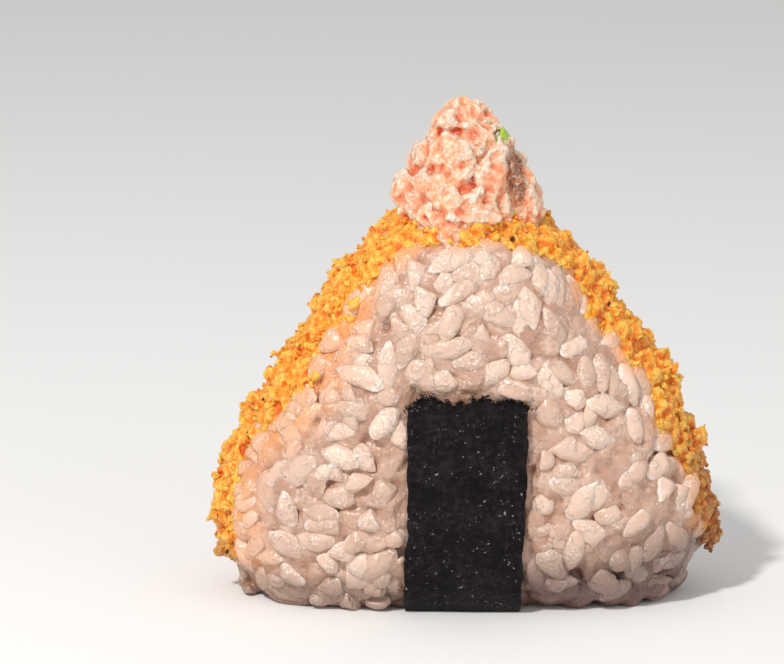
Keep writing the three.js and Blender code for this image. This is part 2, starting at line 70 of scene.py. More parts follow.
LEFT_CORNER_RADIUS = 17
LEFT_CORNER_X = -21
RIGHT_CORNER_RADIUS = 18
RIGHT_CORNER_X = 19.7
RIGHT_SWELL = (14.2, 29.5, 16.8)
TIP_RADIUS = 20.5
TIP_X = 0.5
TIP_Z = 42.3
BASE_CUT = 3
BODY_DEPTH = 33
BODY_CENTRE = np.array((0, 0, 27.0))
EDGE_POWER = 4.4
SECTION_POWER = 2.1
HAND_LUMPS = 0.45
FRAME_SHIFT = np.array((-0.246, -0.128, 0))  # the model's box stands centred on the origin
MM = 0.001
NOISE_TURN = np.array(((2, -1, 2), (2, 2, -1), (-1, 2, 2))) / 3

# The outline is drawn tightly round these circles, each given as x, z and radius.
OUTLINE_CIRCLES = [
    (LEFT_CORNER_X, LEFT_CORNER_RADIUS - BASE_CUT, LEFT_CORNER_RADIUS),
    (RIGHT_CORNER_X, RIGHT_CORNER_RADIUS - BASE_CUT, RIGHT_CORNER_RADIUS),
    RIGHT_SWELL,
    (TIP_X, TIP_Z, TIP_RADIUS),
]


def outline_radius(angles):
    """Distance from the body's middle line to the hull of its circles."""
    normals = np.radians(np.arange(360))
    reaches = [x * np.cos(normals) + (z - BODY_CENTRE[2]) * np.sin(normals) + radius
               for x, z, radius in OUTLINE_CIRCLES]
    along = np.cos(normals[None, :] - angles[:, None])
    distance = np.max(reaches, axis=0) / np.maximum(along, 1e-6)
    return np.where(along < 0.3, np.inf, distance).min(axis=1)


OUTLINE_ANGLES = np.linspace(0, 2 * np.pi, 721)
OUTLINE = outline_radius(OUTLINE_ANGLES)


def outline_at(angles):
    return np.interp(angles % (2 * np.pi), OUTLINE_ANGLES, OUTLINE)


def ripple(x, y, z, scale):
    """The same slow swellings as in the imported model, from -1 to 1."""
    first = np.sin(x / scale + 1.7 * np.sin(z / scale + 0.4))
    second = np.sin(z / scale + 1.3 * np.sin(y / scale + 2.1))
    third = np.sin(y / scale + 1.5 * np.sin(x / scale + 4.0))
    return (first + second + third) / 3


def body_value(points):
    """Below 0 inside the bare body, above 0 outside."""
    x, y, z = points.T
    lumps = 1 + HAND_LUMPS / TIP_RADIUS * ripple(x, y, z, 8)
    rise = z - BODY_CENTRE[2]
    edge = np.hypot(x, rise) / (outline_at(np.arctan2(rise, x)) * lumps)
    section = np.abs(y) / (0.5 * BODY_DEPTH * lumps)
    return edge ** EDGE_POWER + section ** SECTION_POWER - 1


def body_slope(points):
    step = 0.05
    slope = [body_value(points + step * axis) - body_value(points - step * axis)
             for axis in np.eye(3)]
    return np.stack(slope, axis=1) / (2 * step)


def unit(vectors):
    return vectors / np.linalg.norm(vectors, axis=-1, keepdims=True)


def body_points(directions, start=BODY_CENTRE):
    """Where rays from inside the body leave its skin."""
    inside = np.zeros(len(directions))
    outside = np.full(len(directions), 90.0)
    for _ in range(26):
        middle = (inside + outside) / 2
        within = body_value(start + directions * middle[:, None]) < 0
        inside = np.where(within, middle, inside)
        outside = np.where(within, outside, middle)
    return start + directions * inside[:, None]


def ball_points(share, angle):
    """Points of a ball of radius 1, by their share along Y and their angle round it."""
    flat = np.sqrt(1 - share ** 2)
    return np.stack((flat * np.cos(angle), share, flat * np.sin(angle)), axis=1)


def body_directions(random, count):
    """Random directions that cover the flat faces and the edges about evenly."""
    turn = random.uniform(0, 2 * np.pi, count)
    share = random.uniform(-1, 1, count)
    return unit(ball_points(share, turn) * (1, 0.6, 1))


def lattice(corners, seed):
    """A steady number from 0 to 1 for each corner of a grid."""
    mixed = corners.astype(np.int64) @ np.array((73856093, 19349663, 83492791)) + seed * 2654435761
    mixed = (mixed ^ (mixed >> 13)) * 1274126177
    mixed = mixed ^ (mixed >> 16)
    return (mixed & 0xFFFFFF) / 0xFFFFFF


def noise(points, size, seed):
    """Smooth bumps from -1 to 1, about a size apart, whose grid lies askew to the axes."""
    place = points @ NOISE_TURN / size
    corner = np.floor(place).astype(np.int64)
    part = place - corner
    part = part * part * (3 - 2 * part)
    total = np.zeros(len(points))
    for offset in np.ndindex(2, 2, 2):
        weight = np.prod(np.where(offset, part, 1 - part), axis=1)
        total += weight * lattice(corner + np.array(offset), seed)
    return 2 * total - 1


def smooth_step(low, high, value):
    share = np.clip((value - low) / (high - low), 0, 1)
    return share * share * (3 - 2 * share)


def place_on(normals, turn, tilt):
    """Frames whose Y axis lies along the surface and whose Z axis points out of it, as rows."""
    helper = np.where(np.abs(normals[:, 2:]) < 0.8, (0, 0, 1), (1, 0, 0))
    level = unit(np.cross(helper, normals))
    upright = np.cross(normals, level)
    along = level * np.cos(turn)[:, None] + upright * np.sin(turn)[:, None]
    along = along * np.cos(tilt)[:, None] + normals * np.sin(tilt)[:, None]
    side = unit(np.cross(along, normals))
    return np.stack((side, along, np.cross(side, along)), axis=1)


def ball_grid(rings, segments):
    """A closed ball of rings: shares along it from -1 to 1, angles round it, and its faces."""
    along = -np.cos(np.pi * np.arange(1, rings) / rings)
    turn = 2 * np.pi * np.arange(segments) / segments
    share = np.concatenate(([-1], np.repeat(along, segments), [1]))
    angle = np.concatenate(([0], np.tile(turn, rings - 1), [0]))
    faces = []
    last = (rings - 1) * segments + 1
    for segment in range(segments):
        after = (segment + 1) % segments
        faces.append((0, 1 + segment, 1 + after))
        for ring in range(rings - 2):
            low, high = 1 + ring * segments, 1 + (ring + 1) * segments
            faces.append((low + segment, high + segment, high + after))
            faces.append((low + segment, high + after, low + after))
        low = 1 + (rings - 2) * segments
        faces.append((low + segment, last, low + after))
    return share, angle, np.array(faces)


def rice_grains(random, grid, length, width, thickness, broken):
    """Grains between a lens and a pill, each bent, dented and pressed flat in its own way."""
    share, angle, _ = grid
    count = len(length)

    def each(low, high):
        return random.uniform(low, high, (count, 1))

    profile = np.maximum(0, 1 - np.abs(share) ** each(1.5, 2.5)) ** each(0.5, 0.75)
    profile = profile * (1 + each(-0.2, 0.2) * share)
    x = 0.5 * width * profile * np.cos(angle) + each(-0.5, 0.5) * (share ** 2 - 0.3)
    y = 0.5 * length * share
    z = 0.5 * thickness * profile * np.sin(angle) - each(0, 0.4) * (share ** 2 - 0.3)
    end = 0.5 * length * np.where(broken, each(0, 0.55), 2)
    over = np.maximum(0, y - end - each(-0.4, 0.4) * x)
    y = y - 0.92 * over
    for _ in range(2):
        press = unit(random.normal(0, 1, (count, 1, 3)) * (1, 0.5, 0.6))
        points = np.stack((x, y, z), axis=2)
        over = np.maximum(0, np.sum(points * press, axis=2) - each(0.3, 0.46) * width)
        x, y, z = np.moveaxis(points - 0.8 * over[..., None] * press, 2, 0)
    points = np.stack((x, y, z), axis=2).reshape(-1, 3)
    spread = points + np.repeat(random.uniform(0, 500, (count, 3)), len(share), axis=0)
    dents = 1 + 0.10 * noise(spread, 1.7, 1) + 0.06 * noise(spread, 0.8, 2)
    dents = dents + 0.03 * noise(spread, 0.45, 3)
    return (points * dents[:, None]).reshape(count, -1, 3)


def scatter(shapes, frames, places, faces):
    """Puts every shape in its place and joins them into one list of points and faces."""
    points = np.einsum("nki,nij->nkj", shapes, frames) + places[:, None, :]
    starts = np.arange(len(shapes))[:, None, None] * shapes.shape[1]
    return points.reshape(-1, 3), (faces[None] + starts).reshape(-1, faces.shape[1])


def join(pieces):
    """Several lists of points and faces as one."""
    starts = np.cumsum([0] + [len(points) for points, _ in pieces[:-1]])
    return (np.concatenate([points for points, _ in pieces]),
            np.concatenate([faces + start for (_, faces), start in zip(pieces, starts)]))


def fill_mesh(name, points, faces):
    mesh = bpy.data.meshes.new(name)
    mesh.vertices.add(len(points))
    mesh.vertices.foreach_set("co", np.ascontiguousarray(points, np.float32).ravel())
    sides = faces.shape[1]
    mesh.loops.add(faces.size)
    mesh.loops.foreach_set("vertex_index", np.ascontiguousarray(faces, np.int32).ravel())
    mesh.polygons.add(len(faces))
    mesh.polygons.foreach_set("loop_start", np.arange(0, faces.size, sides, dtype=np.int32))
    mesh.update(calc_edges=True)
    mesh.validate()
    return mesh


def fuse(points, faces, voxel):
    """One skin round many pieces that stick together, as points and four-sided faces."""
    holder = bpy.data.objects.new("fuse", fill_mesh("fuse", points, faces))
    bpy.context.scene.collection.objects.link(holder)
    remesh = holder.modifiers.new("fuse", "REMESH")
    remesh.mode = "VOXEL"
    remesh.voxel_size = voxel
    fused = holder.evaluated_get(bpy.context.evaluated_depsgraph_get()).to_mesh()
    new_points = np.empty(len(fused.vertices) * 3, np.float32)
    fused.vertices.foreach_get("co", new_points)
    new_faces = np.empty(len(fused.loops), np.int32)
    fused.loops.foreach_get("vertex_index", new_faces)
    new_points = new_points.reshape(-1, 3).astype(float)
    new_faces = new_faces.reshape(-1, 4)
    bpy.data.objects.remove(holder)
    return new_points, new_faces


def edges_of(faces):
    sides = faces.shape[1]
    pairs = np.concatenate([faces[:, [side, (side + 1) % sides]] for side in range(sides)])
    return np.unique(np.sort(pairs, axis=1), axis=0)


def relax(points, faces, times):
    """Evens a skin out by drawing each point half way to the middle of its neighbours."""
    first, second = edges_of(faces).T
    count = np.bincount(np.concatenate((first, second)), minlength=len(points))
    for _ in range(times):
        total = np.stack([
            np.bincount(first, points[second, axis], len(points))
            + np.bincount(second, points[first, axis], len(points))
            for axis in range(3)], axis=1)
        points = points + 0.5 * (total / np.maximum(count, 1)[:, None] - points)
    return points


def point_normals(points, faces):
    across = np.cross(
        points[faces[:, 2]] - points[faces[:, 0]], points[faces[:, -1]] - points[faces[:, 1]])
    sides = range(faces.shape[1])
    normals = np.stack([
        sum(np.bincount(faces[:, side], across[:, axis], len(points)) for side in sides)
        for axis in range(3)], axis=1)
    return normals / np.maximum(np.linalg.norm(normals, axis=1, keepdims=True), 1e-9)


def new_piece(name, points, faces, material, values=()):
    """A finished piece that rides on the onigiri. Values are numbers that its material reads."""
    mesh = fill_mesh(name, (points + FRAME_SHIFT) * MM, faces)
    mesh.polygons.foreach_set("use_smooth", np.ones(len(mesh.polygons), bool))
    for key, numbers in dict(values).items():
        attribute = mesh.attributes.new(key, "FLOAT", "POINT")
        attribute.data.foreach_set("value", numbers.astype(np.float32))
    mesh.materials.append(material)
    piece = bpy.data.objects.new(name, mesh)
    bpy.context.scene.collection.objects.link(piece)
    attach(piece, "root")
    return piece


class Socket:
    """An output in a material's node tree. Expressions on it add the nodes that they need."""

    def __init__(self, tree, output):
        self.tree = tree
        self.output = output

    def node(self, kind, settings=(), inputs=(), output=0):
        """Adds any node: its settings come first, then the values or links of its sockets."""
        added = self.tree.nodes.new(kind)
        for key, value in dict(settings).items():
            setattr(added, key, value)
        for key, value in dict(inputs).items():
            self.feed(added.inputs[key], value)
        return Socket(self.tree, added.outputs[output])

    def feed(self, target, value):
        if isinstance(value, Socket):
            self.tree.links.new(value.output, target)
        else:
            target.default_value = value

    def math(self, operation, *values):
        return self.node("ShaderNodeMath", {"operation": operation}, dict(enumerate(values)))

    def __add__(self, other):
        return self.math("ADD", self, other)

    def __radd__(self, other):
        return self.math("ADD", other, self)

    def __sub__(self, other):
        return self.math("SUBTRACT", self, other)

    def __rsub__(self, other):
        return self.math("SUBTRACT", other, self)

    def __mul__(self, other):
        return self.math("MULTIPLY", self, other)

    def __rmul__(self, other):
        return self.math("MULTIPLY", other, self)

    def step(self, low, high):
        """From 0 at low to 1 at high, with soft ends."""
        settings = {"interpolation_type": "SMOOTHSTEP"}
        return self.node("ShaderNodeMapRange", settings, {0: self, 1: low, 2: high, 3: 0.0, 4: 1.0})

    def mix(self, first, second):
        """A colour that goes from the first to the second as this value goes from 0 to 1."""
        return self.node("ShaderNodeMix", {"data_type": "RGBA"}, {0: self, 6: first, 7: second}, 2)

    def ramp(self, stops):
        """A colour from stops, which are pairs of a position and a colour."""
        color = self.node("ShaderNodeValToRGB", (), {0: self})
        elements = color.output.node.color_ramp.elements
        while len(elements) < len(stops):
            elements.new(1.0)
        for element, (position, paint_color) in zip(elements, stops):
            element.position = position
            element.color = paint_color
        return color

    def noise(self, size, detail=2.0, roughness=0.5):
        """Cloudy values from 0 to 1 with lumps of a size, where this socket gives the place."""
        inputs = {"Vector": self, "Scale": 1 / size, "Detail": detail, "Roughness": roughness}
        return self.node("ShaderNodeTexNoise", (), inputs)

    def cells(self, size):
        """The distance from the middles of cells of a size."""
        return self.node("ShaderNodeTexVoronoi", (), {"Vector": self, "Scale": 1 / size})

    def bump(self, height, strength=1.0, normal=None):
        """A Bump node for a relief that is this many millimetres high."""
        inputs = {"Height": self, "Distance": height * MM, "Strength": strength}
        if normal:
            inputs["Normal"] = normal
        return self.node("ShaderNodeBump", (), inputs)

    def value_of(self, name):
        """A number that the piece's own points carry."""
        return self.node("ShaderNodeAttribute", {"attribute_name": name}, (), "Fac")


def paint(red, green, blue):
    """A colour from its 0 to 255 screen values."""
    srgb = np.array((red, green, blue)) / 255
    linear = np.where(srgb <= 0.04045, srgb / 12.92, ((srgb + 0.055) / 1.055) ** 2.4)
    return (*linear.tolist(), 1.0)


def new_material(name, constants):
    """A material, the places of its points in millimetres, and a function that feeds its shader."""
    material = bpy.data.materials.new(name)
    material.use_nodes = True
    tree = material.node_tree
    shader = tree.nodes["Principled BSDF"]
    for key, value in constants.items():
        shader.inputs[key].default_value = value
    start = Socket(tree, None)
    metres = start.node("ShaderNodeTexCoord", (), (), "Object")
    place = metres.node(
        "ShaderNodeVectorMath", {"operation": "SCALE"}, {0: metres, "Scale": 1 / MM})

    def feed(**links):
        for key, value in links.items():
            start.feed(shader.inputs[key.replace("_", " ")], value)

    return material, place, feed


# How far the coat reaches in over the faces, and how low it ends at the right and the left.
COAT_BAND = 2.5
COAT_TIP_BAND = 4.4
COAT_LOW_BAND = 1.3
COAT_ENDS_Z = (11.5, 5.5)


def direction_of(x, z):
    """A direction from the body's middle line, from -90 degrees below it round to 270."""
    angle = np.arctan2(z - BODY_CENTRE[2], x)
    return np.where(angle < -0.5 * np.pi, angle + 2 * np.pi, angle)


COAT_START = float(direction_of(RIGHT_CORNER_X + RIGHT_CORNER_RADIUS, COAT_ENDS_Z[0]))
COAT_END = float(direction_of(LEFT_CORNER_X - LEFT_CORNER_RADIUS, COAT_ENDS_Z[1]))


def coat_band(angles):
    """How far the coat reaches in over a face, measured from the outline."""
    low = smooth_step(np.pi - 0.25, np.pi + 0.1, angles)
    tip = smooth_step(0.45, 0.15, np.abs(angles - 0.5 * np.pi))
    wander = 0.5 * np.sin(9 * angles + 1) + 0.3 * np.sin(17 * angles)
    band = COAT_BAND + (COAT_TIP_BAND - COAT_BAND) * tip
    return band + (COAT_LOW_BAND - band) * low + wander


def past_coat_edge(points):
    """Distance from the coat's inner edge: above 0 on bare rice, below 0 under the coat."""
    angles = direction_of(points[:, 0], points[:, 2])
    reach = outline_at(angles)
    inwards = reach - coat_band(angles) - np.hypot(points[:, 0], points[:, 2] - BODY_CENTRE[2])
    beyond = np.maximum(COAT_START - angles, angles - COAT_END) * reach
    return np.maximum(inwards, beyond)


NORI_WIDTH = 19
NORI_TOP_Z = 35.5


def past_nori_edge(points):
    """Distance from the nori's edges: below 0 under the strip."""
    return np.maximum(np.abs(points[:, 0]) - 0.5 * NORI_WIDTH, points[:, 2] - NORI_TOP_Z)


GRAIN_LENGTH = (6.8, 8.8)
GRAIN_WIDTH = (3.1, 4.4)
GRAIN_THICKNESS = (2.4, 3.1)
GRAIN_TRIES = 9000
PRESSED_COUNT = 900
PRESSED_SPACING = 2.5
PRESSED_SUNK = (-0.95, -0.35)
CORE_DEPTH = 0.6
TOPPING_COVERS_Z = 56
FOOT_BULGE = (1.4, 2.0)  # how far the rice spreads above the table, left and right
FOOT_SPREAD = (1.8, 1.2)  # how much further it spreads where it touches the table
BASE_GAP = 0.6  # depth of the creases between the grains that the table flattened
UNDER_NORI = 0.2
RICE_VOXEL = 0.38
# Layers of whole grains: how far they keep from each other, how deep they sit, how pale they
# are, how much they tilt, how many are broken, how patchy they lie and how far off the nori.
SUNK_GRAINS = (5, 1.6, (-0.6, 0.0), (0.15, 0.65), 0.1, 0.2, -1, -0.5)
PROUD_GRAINS = (8, 1.2, (-0.3, 0.6), (0.45, 1.0), 0.13, 0.4, -0.7, 0.6)
RICE_STAIN_REACH = (2.2, 8.5)  # how far frying oil has coloured the rice, right and left

RICE_PALE = paint(238, 211, 193)
RICE_BED = paint(190, 147, 123)
RICE_CREVICE_SHADE = paint(164, 114, 92)
RICE_HIGHLIGHT = paint(255, 244, 235)
RICE_STAIN = paint(250, 170, 98)
RICE_SHADE = paint(90, 58, 49)


def spaced_points(random):
    """Random points of the bare body that keep a distance from each other."""
    taken = np.empty((0, 3))
    for point in body_points(body_directions(random, GRAIN_TRIES)):
        if len(taken) == PRESSED_COUNT:
            break
        near = np.sum((taken - point) ** 2, axis=1) < PRESSED_SPACING ** 2
        if point[2] > 0.2 and not np.any(near):
            taken = np.vstack((taken, point))
    return taken


def settle(points):
    """The foot bulges where the rice ball rests on it."""
    x, _, z = points.T
    bulge = np.where(x < 0, *FOOT_BULGE) * smooth_step(4, 0.5, z)
    bulge = bulge + np.where(x < 0, *FOOT_SPREAD) * smooth_step(2.4, 0.6, z)
    bulge = bulge * smooth_step(12, 24, np.abs(x))
    return points + np.stack((np.sign(x) * bulge, 0 * x, 0 * x), axis=1)


def free_rods(places, frames, lengths, clear):
    """Keeps the grains that don't lie in each other, judged by five points along each."""
    reach = np.linspace(-0.38, 0.38, 5)
    along = reach[None, :, None] * lengths[:, None, None]
    rods = places[:, None, :] + frames[:, None, 1, :] * along
    kept = []
    taken = np.empty((0, 3))
    for index, rod in enumerate(rods):
        gaps = np.sum((taken[:, None, :] - rod[None]) ** 2, axis=2)
        if not np.any(gaps < clear ** 2):
            kept.append(index)
            taken = np.vstack((taken, rod))
    return np.array(kept)


def seat_grains(random, places, lengths, frames, lifts, broken, tones, rings, segments):
    """Grains on the body, as points and faces, how pale each point is and how near its rim."""
    count = len(places)
    widths = random.uniform(*GRAIN_WIDTH, (count, 1))
    thicknesses = random.uniform(*GRAIN_THICKNESS, (count, 1))
    grid = ball_grid(rings, segments)
    is_broken = random.random((count, 1)) < broken
    shapes = rice_grains(random, grid, lengths[:, None], widths, thicknesses, is_broken)
    centres = places + unit(body_slope(places)) * lifts[:, None]
    points, faces = scatter(shapes, frames, settle(centres), grid[2])
    rim = smooth_step(0.6, 0.15, shapes[:, :, 2] / (0.5 * thicknesses)).ravel()
    return points, faces, np.repeat(tones, shapes.shape[1]), rim


def whole_grains(seed, clear, lift, tone, tilt, broken, patchy, from_nori):
    """Grains that kept their shape, some half sunk in the rest and some lying on top."""
    random = np.random.default_rng(seed)
    places = body_points(body_directions(random, GRAIN_TRIES))
    normals = unit(body_slope(places))
    turn = random.uniform(0, np.pi, GRAIN_TRIES)
    frames = place_on(normals, turn, random.normal(0, tilt, GRAIN_TRIES))
    lengths = random.uniform(*GRAIN_LENGTH, GRAIN_TRIES)
    # Short bits fill the gaps that the first tries leave.
    small = (np.arange(GRAIN_TRIES) > 0.4 * GRAIN_TRIES) & (random.random(GRAIN_TRIES) < 0.4)
    lengths = np.where(small, random.uniform(0.45, 0.7, GRAIN_TRIES) * lengths, lengths)
    fits = noise(places, 5.5, seed) > patchy
    for side in (-1, 0, 1):
        end = places + frames[:, 1] * (side * 0.42 * lengths)[:, None]
        fits &= (past_coat_edge(end) > -0.9) & (past_nori_edge(end) > from_nori) & (end[:, 2] > 0.9)
    chosen = np.flatnonzero(fits)
    chosen = chosen[free_rods(places[chosen], frames[chosen], lengths[chosen], clear)]
    lifts = random.uniform(*lift, len(chosen))
    tones = random.uniform(*tone, len(chosen))
    return seat_grains(
        random, places[chosen], lengths[chosen], frames[chosen], lifts, broken, tones, 12, 16)


def nearest_of(points, samples, numbers):
    """For each point the number of the sample next to it."""
    tree = KDTree(len(samples))
    for index, sample in enumerate(samples.tolist()):
        tree.insert(sample, index)
    tree.balance()
    return numbers[[tree.find(point)[1] for point in points.tolist()]]


def granules(points, size, seed):
    """Rounded granules that crowd each other, from 1 on top to about 0 in the gaps."""
    cell = np.floor(points / size).astype(np.int64)
    nearest = np.full(len(points), 9.0)
    for offset in np.ndindex(3, 3, 3):
        corner = cell + np.array(offset) - 1
        seat = np.stack([lattice(corner, seed + axis) for axis in range(3)], axis=1)
        nearest = np.minimum(nearest, np.sum((corner + seat - points / size) ** 2, axis=1))
    return 1 - np.sqrt(nearest)


def make_rice():
    """A core with pressed and sunk grains, fused into one skin, and how pale its points are."""
    random = np.random.default_rng(11)
    share, angle, faces = ball_grid(60, 90)
    core = body_points(unit(ball_points(share, angle) * (1, 0.62, 1)))
    core = settle(core - unit(body_slope(core)) * CORE_DEPTH)

    places = spaced_points(random)
    count = len(places)
    normals = unit(body_slope(places))
    frames = place_on(normals, random.uniform(0, np.pi, count), random.uniform(-0.22, 0.22, count))
    under = (past_coat_edge(places) < 0) | (past_nori_edge(places) < 0)
    under |= places[:, 2] > TOPPING_COVERS_Z
    lifts = np.where(under, -1.0, random.uniform(*PRESSED_SUNK, count))
    lengths = random.uniform(*GRAIN_LENGTH, count)
    tones = random.uniform(0, 0.15, count)
    layers = [
        seat_grains(random, places, lengths, frames, lifts, 0.25, tones, 8, 10),
        whole_grains(*SUNK_GRAINS),
    ]
    grains = join([layer[:2] for layer in layers])
    tones = np.concatenate([layer[2] for layer in layers])
    points, faces = fuse(*join([(core, faces), grains]), RICE_VOXEL)
    points = relax(points, faces, 1)
    normals = point_normals(points, faces)
    points += normals * (0.06 * noise(points, 1.4, 3) + 0.04 * noise(points, 0.7, 4))[:, None]
    swirl = points * (0.6, 1, 1) + 1.5 * noise(points, 7, 71)[:, None]
    gaps = BASE_GAP * smooth_step(0.5, 0.25, granules(swirl, 3.6, 70))
    floor = np.where(past_nori_edge(points) < -0.3, UNDER_NORI, gaps)
    points[:, 2] = np.maximum(points[:, 2], floor)
    tones = nearest_of(points, grains[0], tones)
    return points, faces, relax(np.repeat(tones[:, None], 3, axis=1), faces, 1)[:, 0]


def crest_of(points, faces, times=8):
    """Above 0 on crests and below 0 in crevices, in millimetres."""
    smooth = relax(points, faces, times)
    return np.sum((points - smooth) * point_normals(smooth, faces), axis=1)


def rice_values(points, tones, crests, share=1):
    """What the rice's material reads at its points, each a number from about 0 to 1."""
    x, _, z = points.T
    right, left = RICE_STAIN_REACH
    reach = right + (left - right) * smooth_step(-4, -22, x)
    inwards = past_coat_edge(points) + 1.2 + 1.2 * noise(points, 5, 8)
    stain = 1 - smooth_step(0, 1, inwards / reach)
    # Painted shade: darker towards the bottom and the lower right, which turn away from the light.
    painted_shade = 1 - smooth_step(0, 12, z - 0.2 * x + 2.0 * noise(points, 5, 9))
    painted_shade = np.maximum(painted_shade, 0.6 * smooth_step(8, 3, z + 1.5 * noise(points, 4, 10)))
    painted_shade = (0.5 + 0.5 * share) * painted_shade
    return {"tone": tones, "crest": crests, "stain": share * stain, "painted_shade": painted_shade}


def rice_material(name, weight, depth):
    constants = {
        "Subsurface Weight": weight, "Subsurface Radius": (1.0, 0.72, 0.55),
        "Subsurface Scale": depth * MM, "IOR": 1.5, "Specular IOR Level": 0.8,
    }
    material, place, feed = new_material(name, constants)
    tone = place.value_of("tone")
    crest = place.value_of("crest")
    color = (place.noise(3.2, 3.0) * 0.5 + tone - 0.25).mix(RICE_BED, RICE_PALE)
    # Painted shade: darker where the skin dips into crevices between grains.
    color = (crest.step(0.0, -0.22) * 0.8).mix(color, RICE_CREVICE_SHADE)
    # Painted highlight: paler on crests and round the rims of whole grains.
    color = (crest.step(0.06, 0.26) * 0.6).mix(color, RICE_HIGHLIGHT)
    color = (place.value_of("stain") * 0.8).mix(color, RICE_STAIN)
    rough = place.noise(2.4, 2.0).step(0.46, 0.6) * (0.3 + 0.7 * tone)
    grit = place.noise(0.5, 2.0, 0.6)
    # Painted highlight: small glints sprinkled over the glossy patches.
    color = (rough * grit.step(0.54, 0.66)).mix(color, RICE_HIGHLIGHT)
    # Painted shade, darkest low on the right.
    color = (place.value_of("painted_shade") * 0.88).mix(color, RICE_SHADE)
    relief = (grit * (0.15 + 0.85 * rough)).bump(0.4, 1.0, place.noise(1.2, 2.0).bump(0.35, 1.0))
    feed(Base_Color=color, Normal=relief, Roughness=0.34 - 0.2 * rough)
    return material


def half_of(points, faces, values, side):
    """The part of a skin that lies before (-1) or behind (1) the middle, with its own points."""
    kept = faces[np.sign(points[faces, 1].mean(axis=1)) == side]
    used, kept = np.unique(kept, return_inverse=True)
    values = {key: numbers[used] for key, numbers in values.items()}
    return points[used], kept.reshape(-1, 4), values


points, faces, tones = make_rice()
values = rice_values(points, tones, crest_of(points, faces))
rice_skin = rice_material("pressed_rice", 0.85, 0.7)
for name, side in (("rice_front", -1), ("rice_back", 1)):
    half, half_faces, half_values = half_of(points, faces, values, side)
    piece = new_piece(name, half, half_faces, rice_skin, half_values)
    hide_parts("rice")
points, faces, tones, rims = whole_grains(*PROUD_GRAINS)
points[:, 2] = np.maximum(points[:, 2], 0.02)
# The grains' rims go in as crests, so that the material lightens them as painted highlight.
proud_grains = new_piece(
    "proud_grains", points, faces, rice_material("whole_grains", 0.6, 0.25),
    rice_values(points, tones, 0.25 * rims, 0.6))
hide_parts("rice")

# ---- Fried crumb coat ----
# Bread crumbs fried golden, pressed on to both slopes and the tip and round the rounded edges.
# They cling to the rice and to each other in crags, browner at the lower right.

COAT_LIFT = 0.5
COAT_THICKNESS = 1.75
COAT_VOXEL = 0.36
COAT_ROWS = 150
COAT_COLUMNS = 24
CRUMB_COUNT = 3400
LUMP_COUNT = 170
CLUMP_CRUMBS = 10
LOOSE_CRUMB_COUNT = 1500
# Clumps that stand out of the coat's outline: x, z and radius.
COAT_CLUMPS = [
    (37, 10.8, 2.2), (36.8, 9.8, 1.7), (35.5, 24.5, 1.3), (30, 36, 1.6), (21, 53, 1.1),
    (15.6, 59.6, 1.8), (-19.5, 53.5, 1.5), (-31, 39.6, 1.5), (-36, 30.6, 1.5),
    (-38, 21.5, 1.1), (-38, 12.5, 1.1),
]
# Hooked spikes that point outwards: x, z, length and how far the tip drops.
COAT_SPIKES = [
    (-30.4, 39.2, 3.0, 0.4), (-34.0, 31.0, 3.2, 1.4), (-36.6, 23.0, 2.4, 1.4),
    (-37.6, 13.0, 1.8, 0.8), (-24, 47.5, 1.4, -0.4), (-31.8, 35.5, 1.8, -0.6),
    (-37.6, 18.0, 1.5, -0.5), (-36.5, 8.0, 1.6, 0.5), (29.8, 38.5, 2.4, 1.0),
    (36.2, 24.5, 2.0, -1.6), (-18.5, 54.5, 2.0, 0.2), (22, 50.5, 1.6, 0.6),
]

COAT_GOLD = paint(255, 198, 78)
COAT_ORANGE = paint(255, 160, 10)
COAT_DEEP = paint(244, 112, 0)
COAT_BROWN = paint(150, 74, 24)
COAT_SHINE = paint(255, 236, 170)
COAT_BURNT = paint(46, 26, 18)


def coat_points(angles, shares):
    """Points of the bare body under the coat: share 0 is the outline, 1 the edge on the front."""
    reach = outline_at(angles)
    edge_radius = reach - coat_band(angles)
    edge_depth = 0.5 * BODY_DEPTH * (1 - (edge_radius / reach) ** EDGE_POWER) ** (1 / SECTION_POWER)
    slant = shares * np.arctan2(edge_depth, edge_radius)
    directions = np.stack(
        (np.cos(slant) * np.cos(angles), -np.sin(slant), np.cos(slant) * np.sin(angles)), axis=1)
    return body_points(directions)


def sheet_faces(rows, columns):
    """Faces of a closed sheet whose outer points are listed row by row, then its inner ones."""
    at = np.arange(rows * columns).reshape(rows, columns)
    inside = rows * columns

    def quads(a, b, c, d):
        return np.stack([part.ravel() for part in (a, b, c, d)], axis=1)

    first, last = at[:-1], at[1:]
    faces = [
        quads(first[:, :-1], first[:, 1:], last[:, 1:], last[:, :-1]),
        quads(first[:, :-1], last[:, :-1], last[:, 1:], first[:, 1:]) + inside,
        quads(at[:-1, 0], at[1:, 0], at[1:, 0] + inside, at[:-1, 0] + inside),
        quads(at[1:, -1], at[:-1, -1], at[:-1, -1] + inside, at[1:, -1] + inside),
        quads(at[0, 1:], at[0, :-1], at[0, :-1] + inside, at[0, 1:] + inside),
        quads(at[-1, :-1], at[-1, 1:], at[-1, 1:] + inside, at[-1, :-1] + inside),
    ]
    return np.concatenate(faces)


def split_quads(faces):
    return np.concatenate((faces[:, [0, 1, 2]], faces[:, [0, 2, 3]]))


def crumbs(random, radii, grid):
    """Angular crumbs, each squashed and pitted in its own way."""
    ball = ball_points(*grid[:2])
    squash = random.uniform(0.6, 1.35, (len(radii), 1, 3))
    spread = ball[None] + random.uniform(0, 500, (len(radii), 1, 3))
    rough = 1 + 0.6 * noise(spread.reshape(-1, 3), 0.9, 5).reshape(len(radii), -1, 1)
    return ball[None] * squash * rough * radii[:, None, None]


def seat_crumbs(random, angles, shares, radii, lifts, tilt):
    """Crumbs over the coated part of the body, as points and faces."""
    seats = coat_points(angles, shares)
    normals = unit(body_slope(seats))
    grid = ball_grid(6, 8)
    turn = random.uniform(0, 2 * np.pi, len(radii))
    frames = place_on(normals, turn, random.uniform(-tilt, tilt, len(radii)))
    return scatter(crumbs(random, radii, grid), frames, seats + normals * lifts[:, None], grid[2])


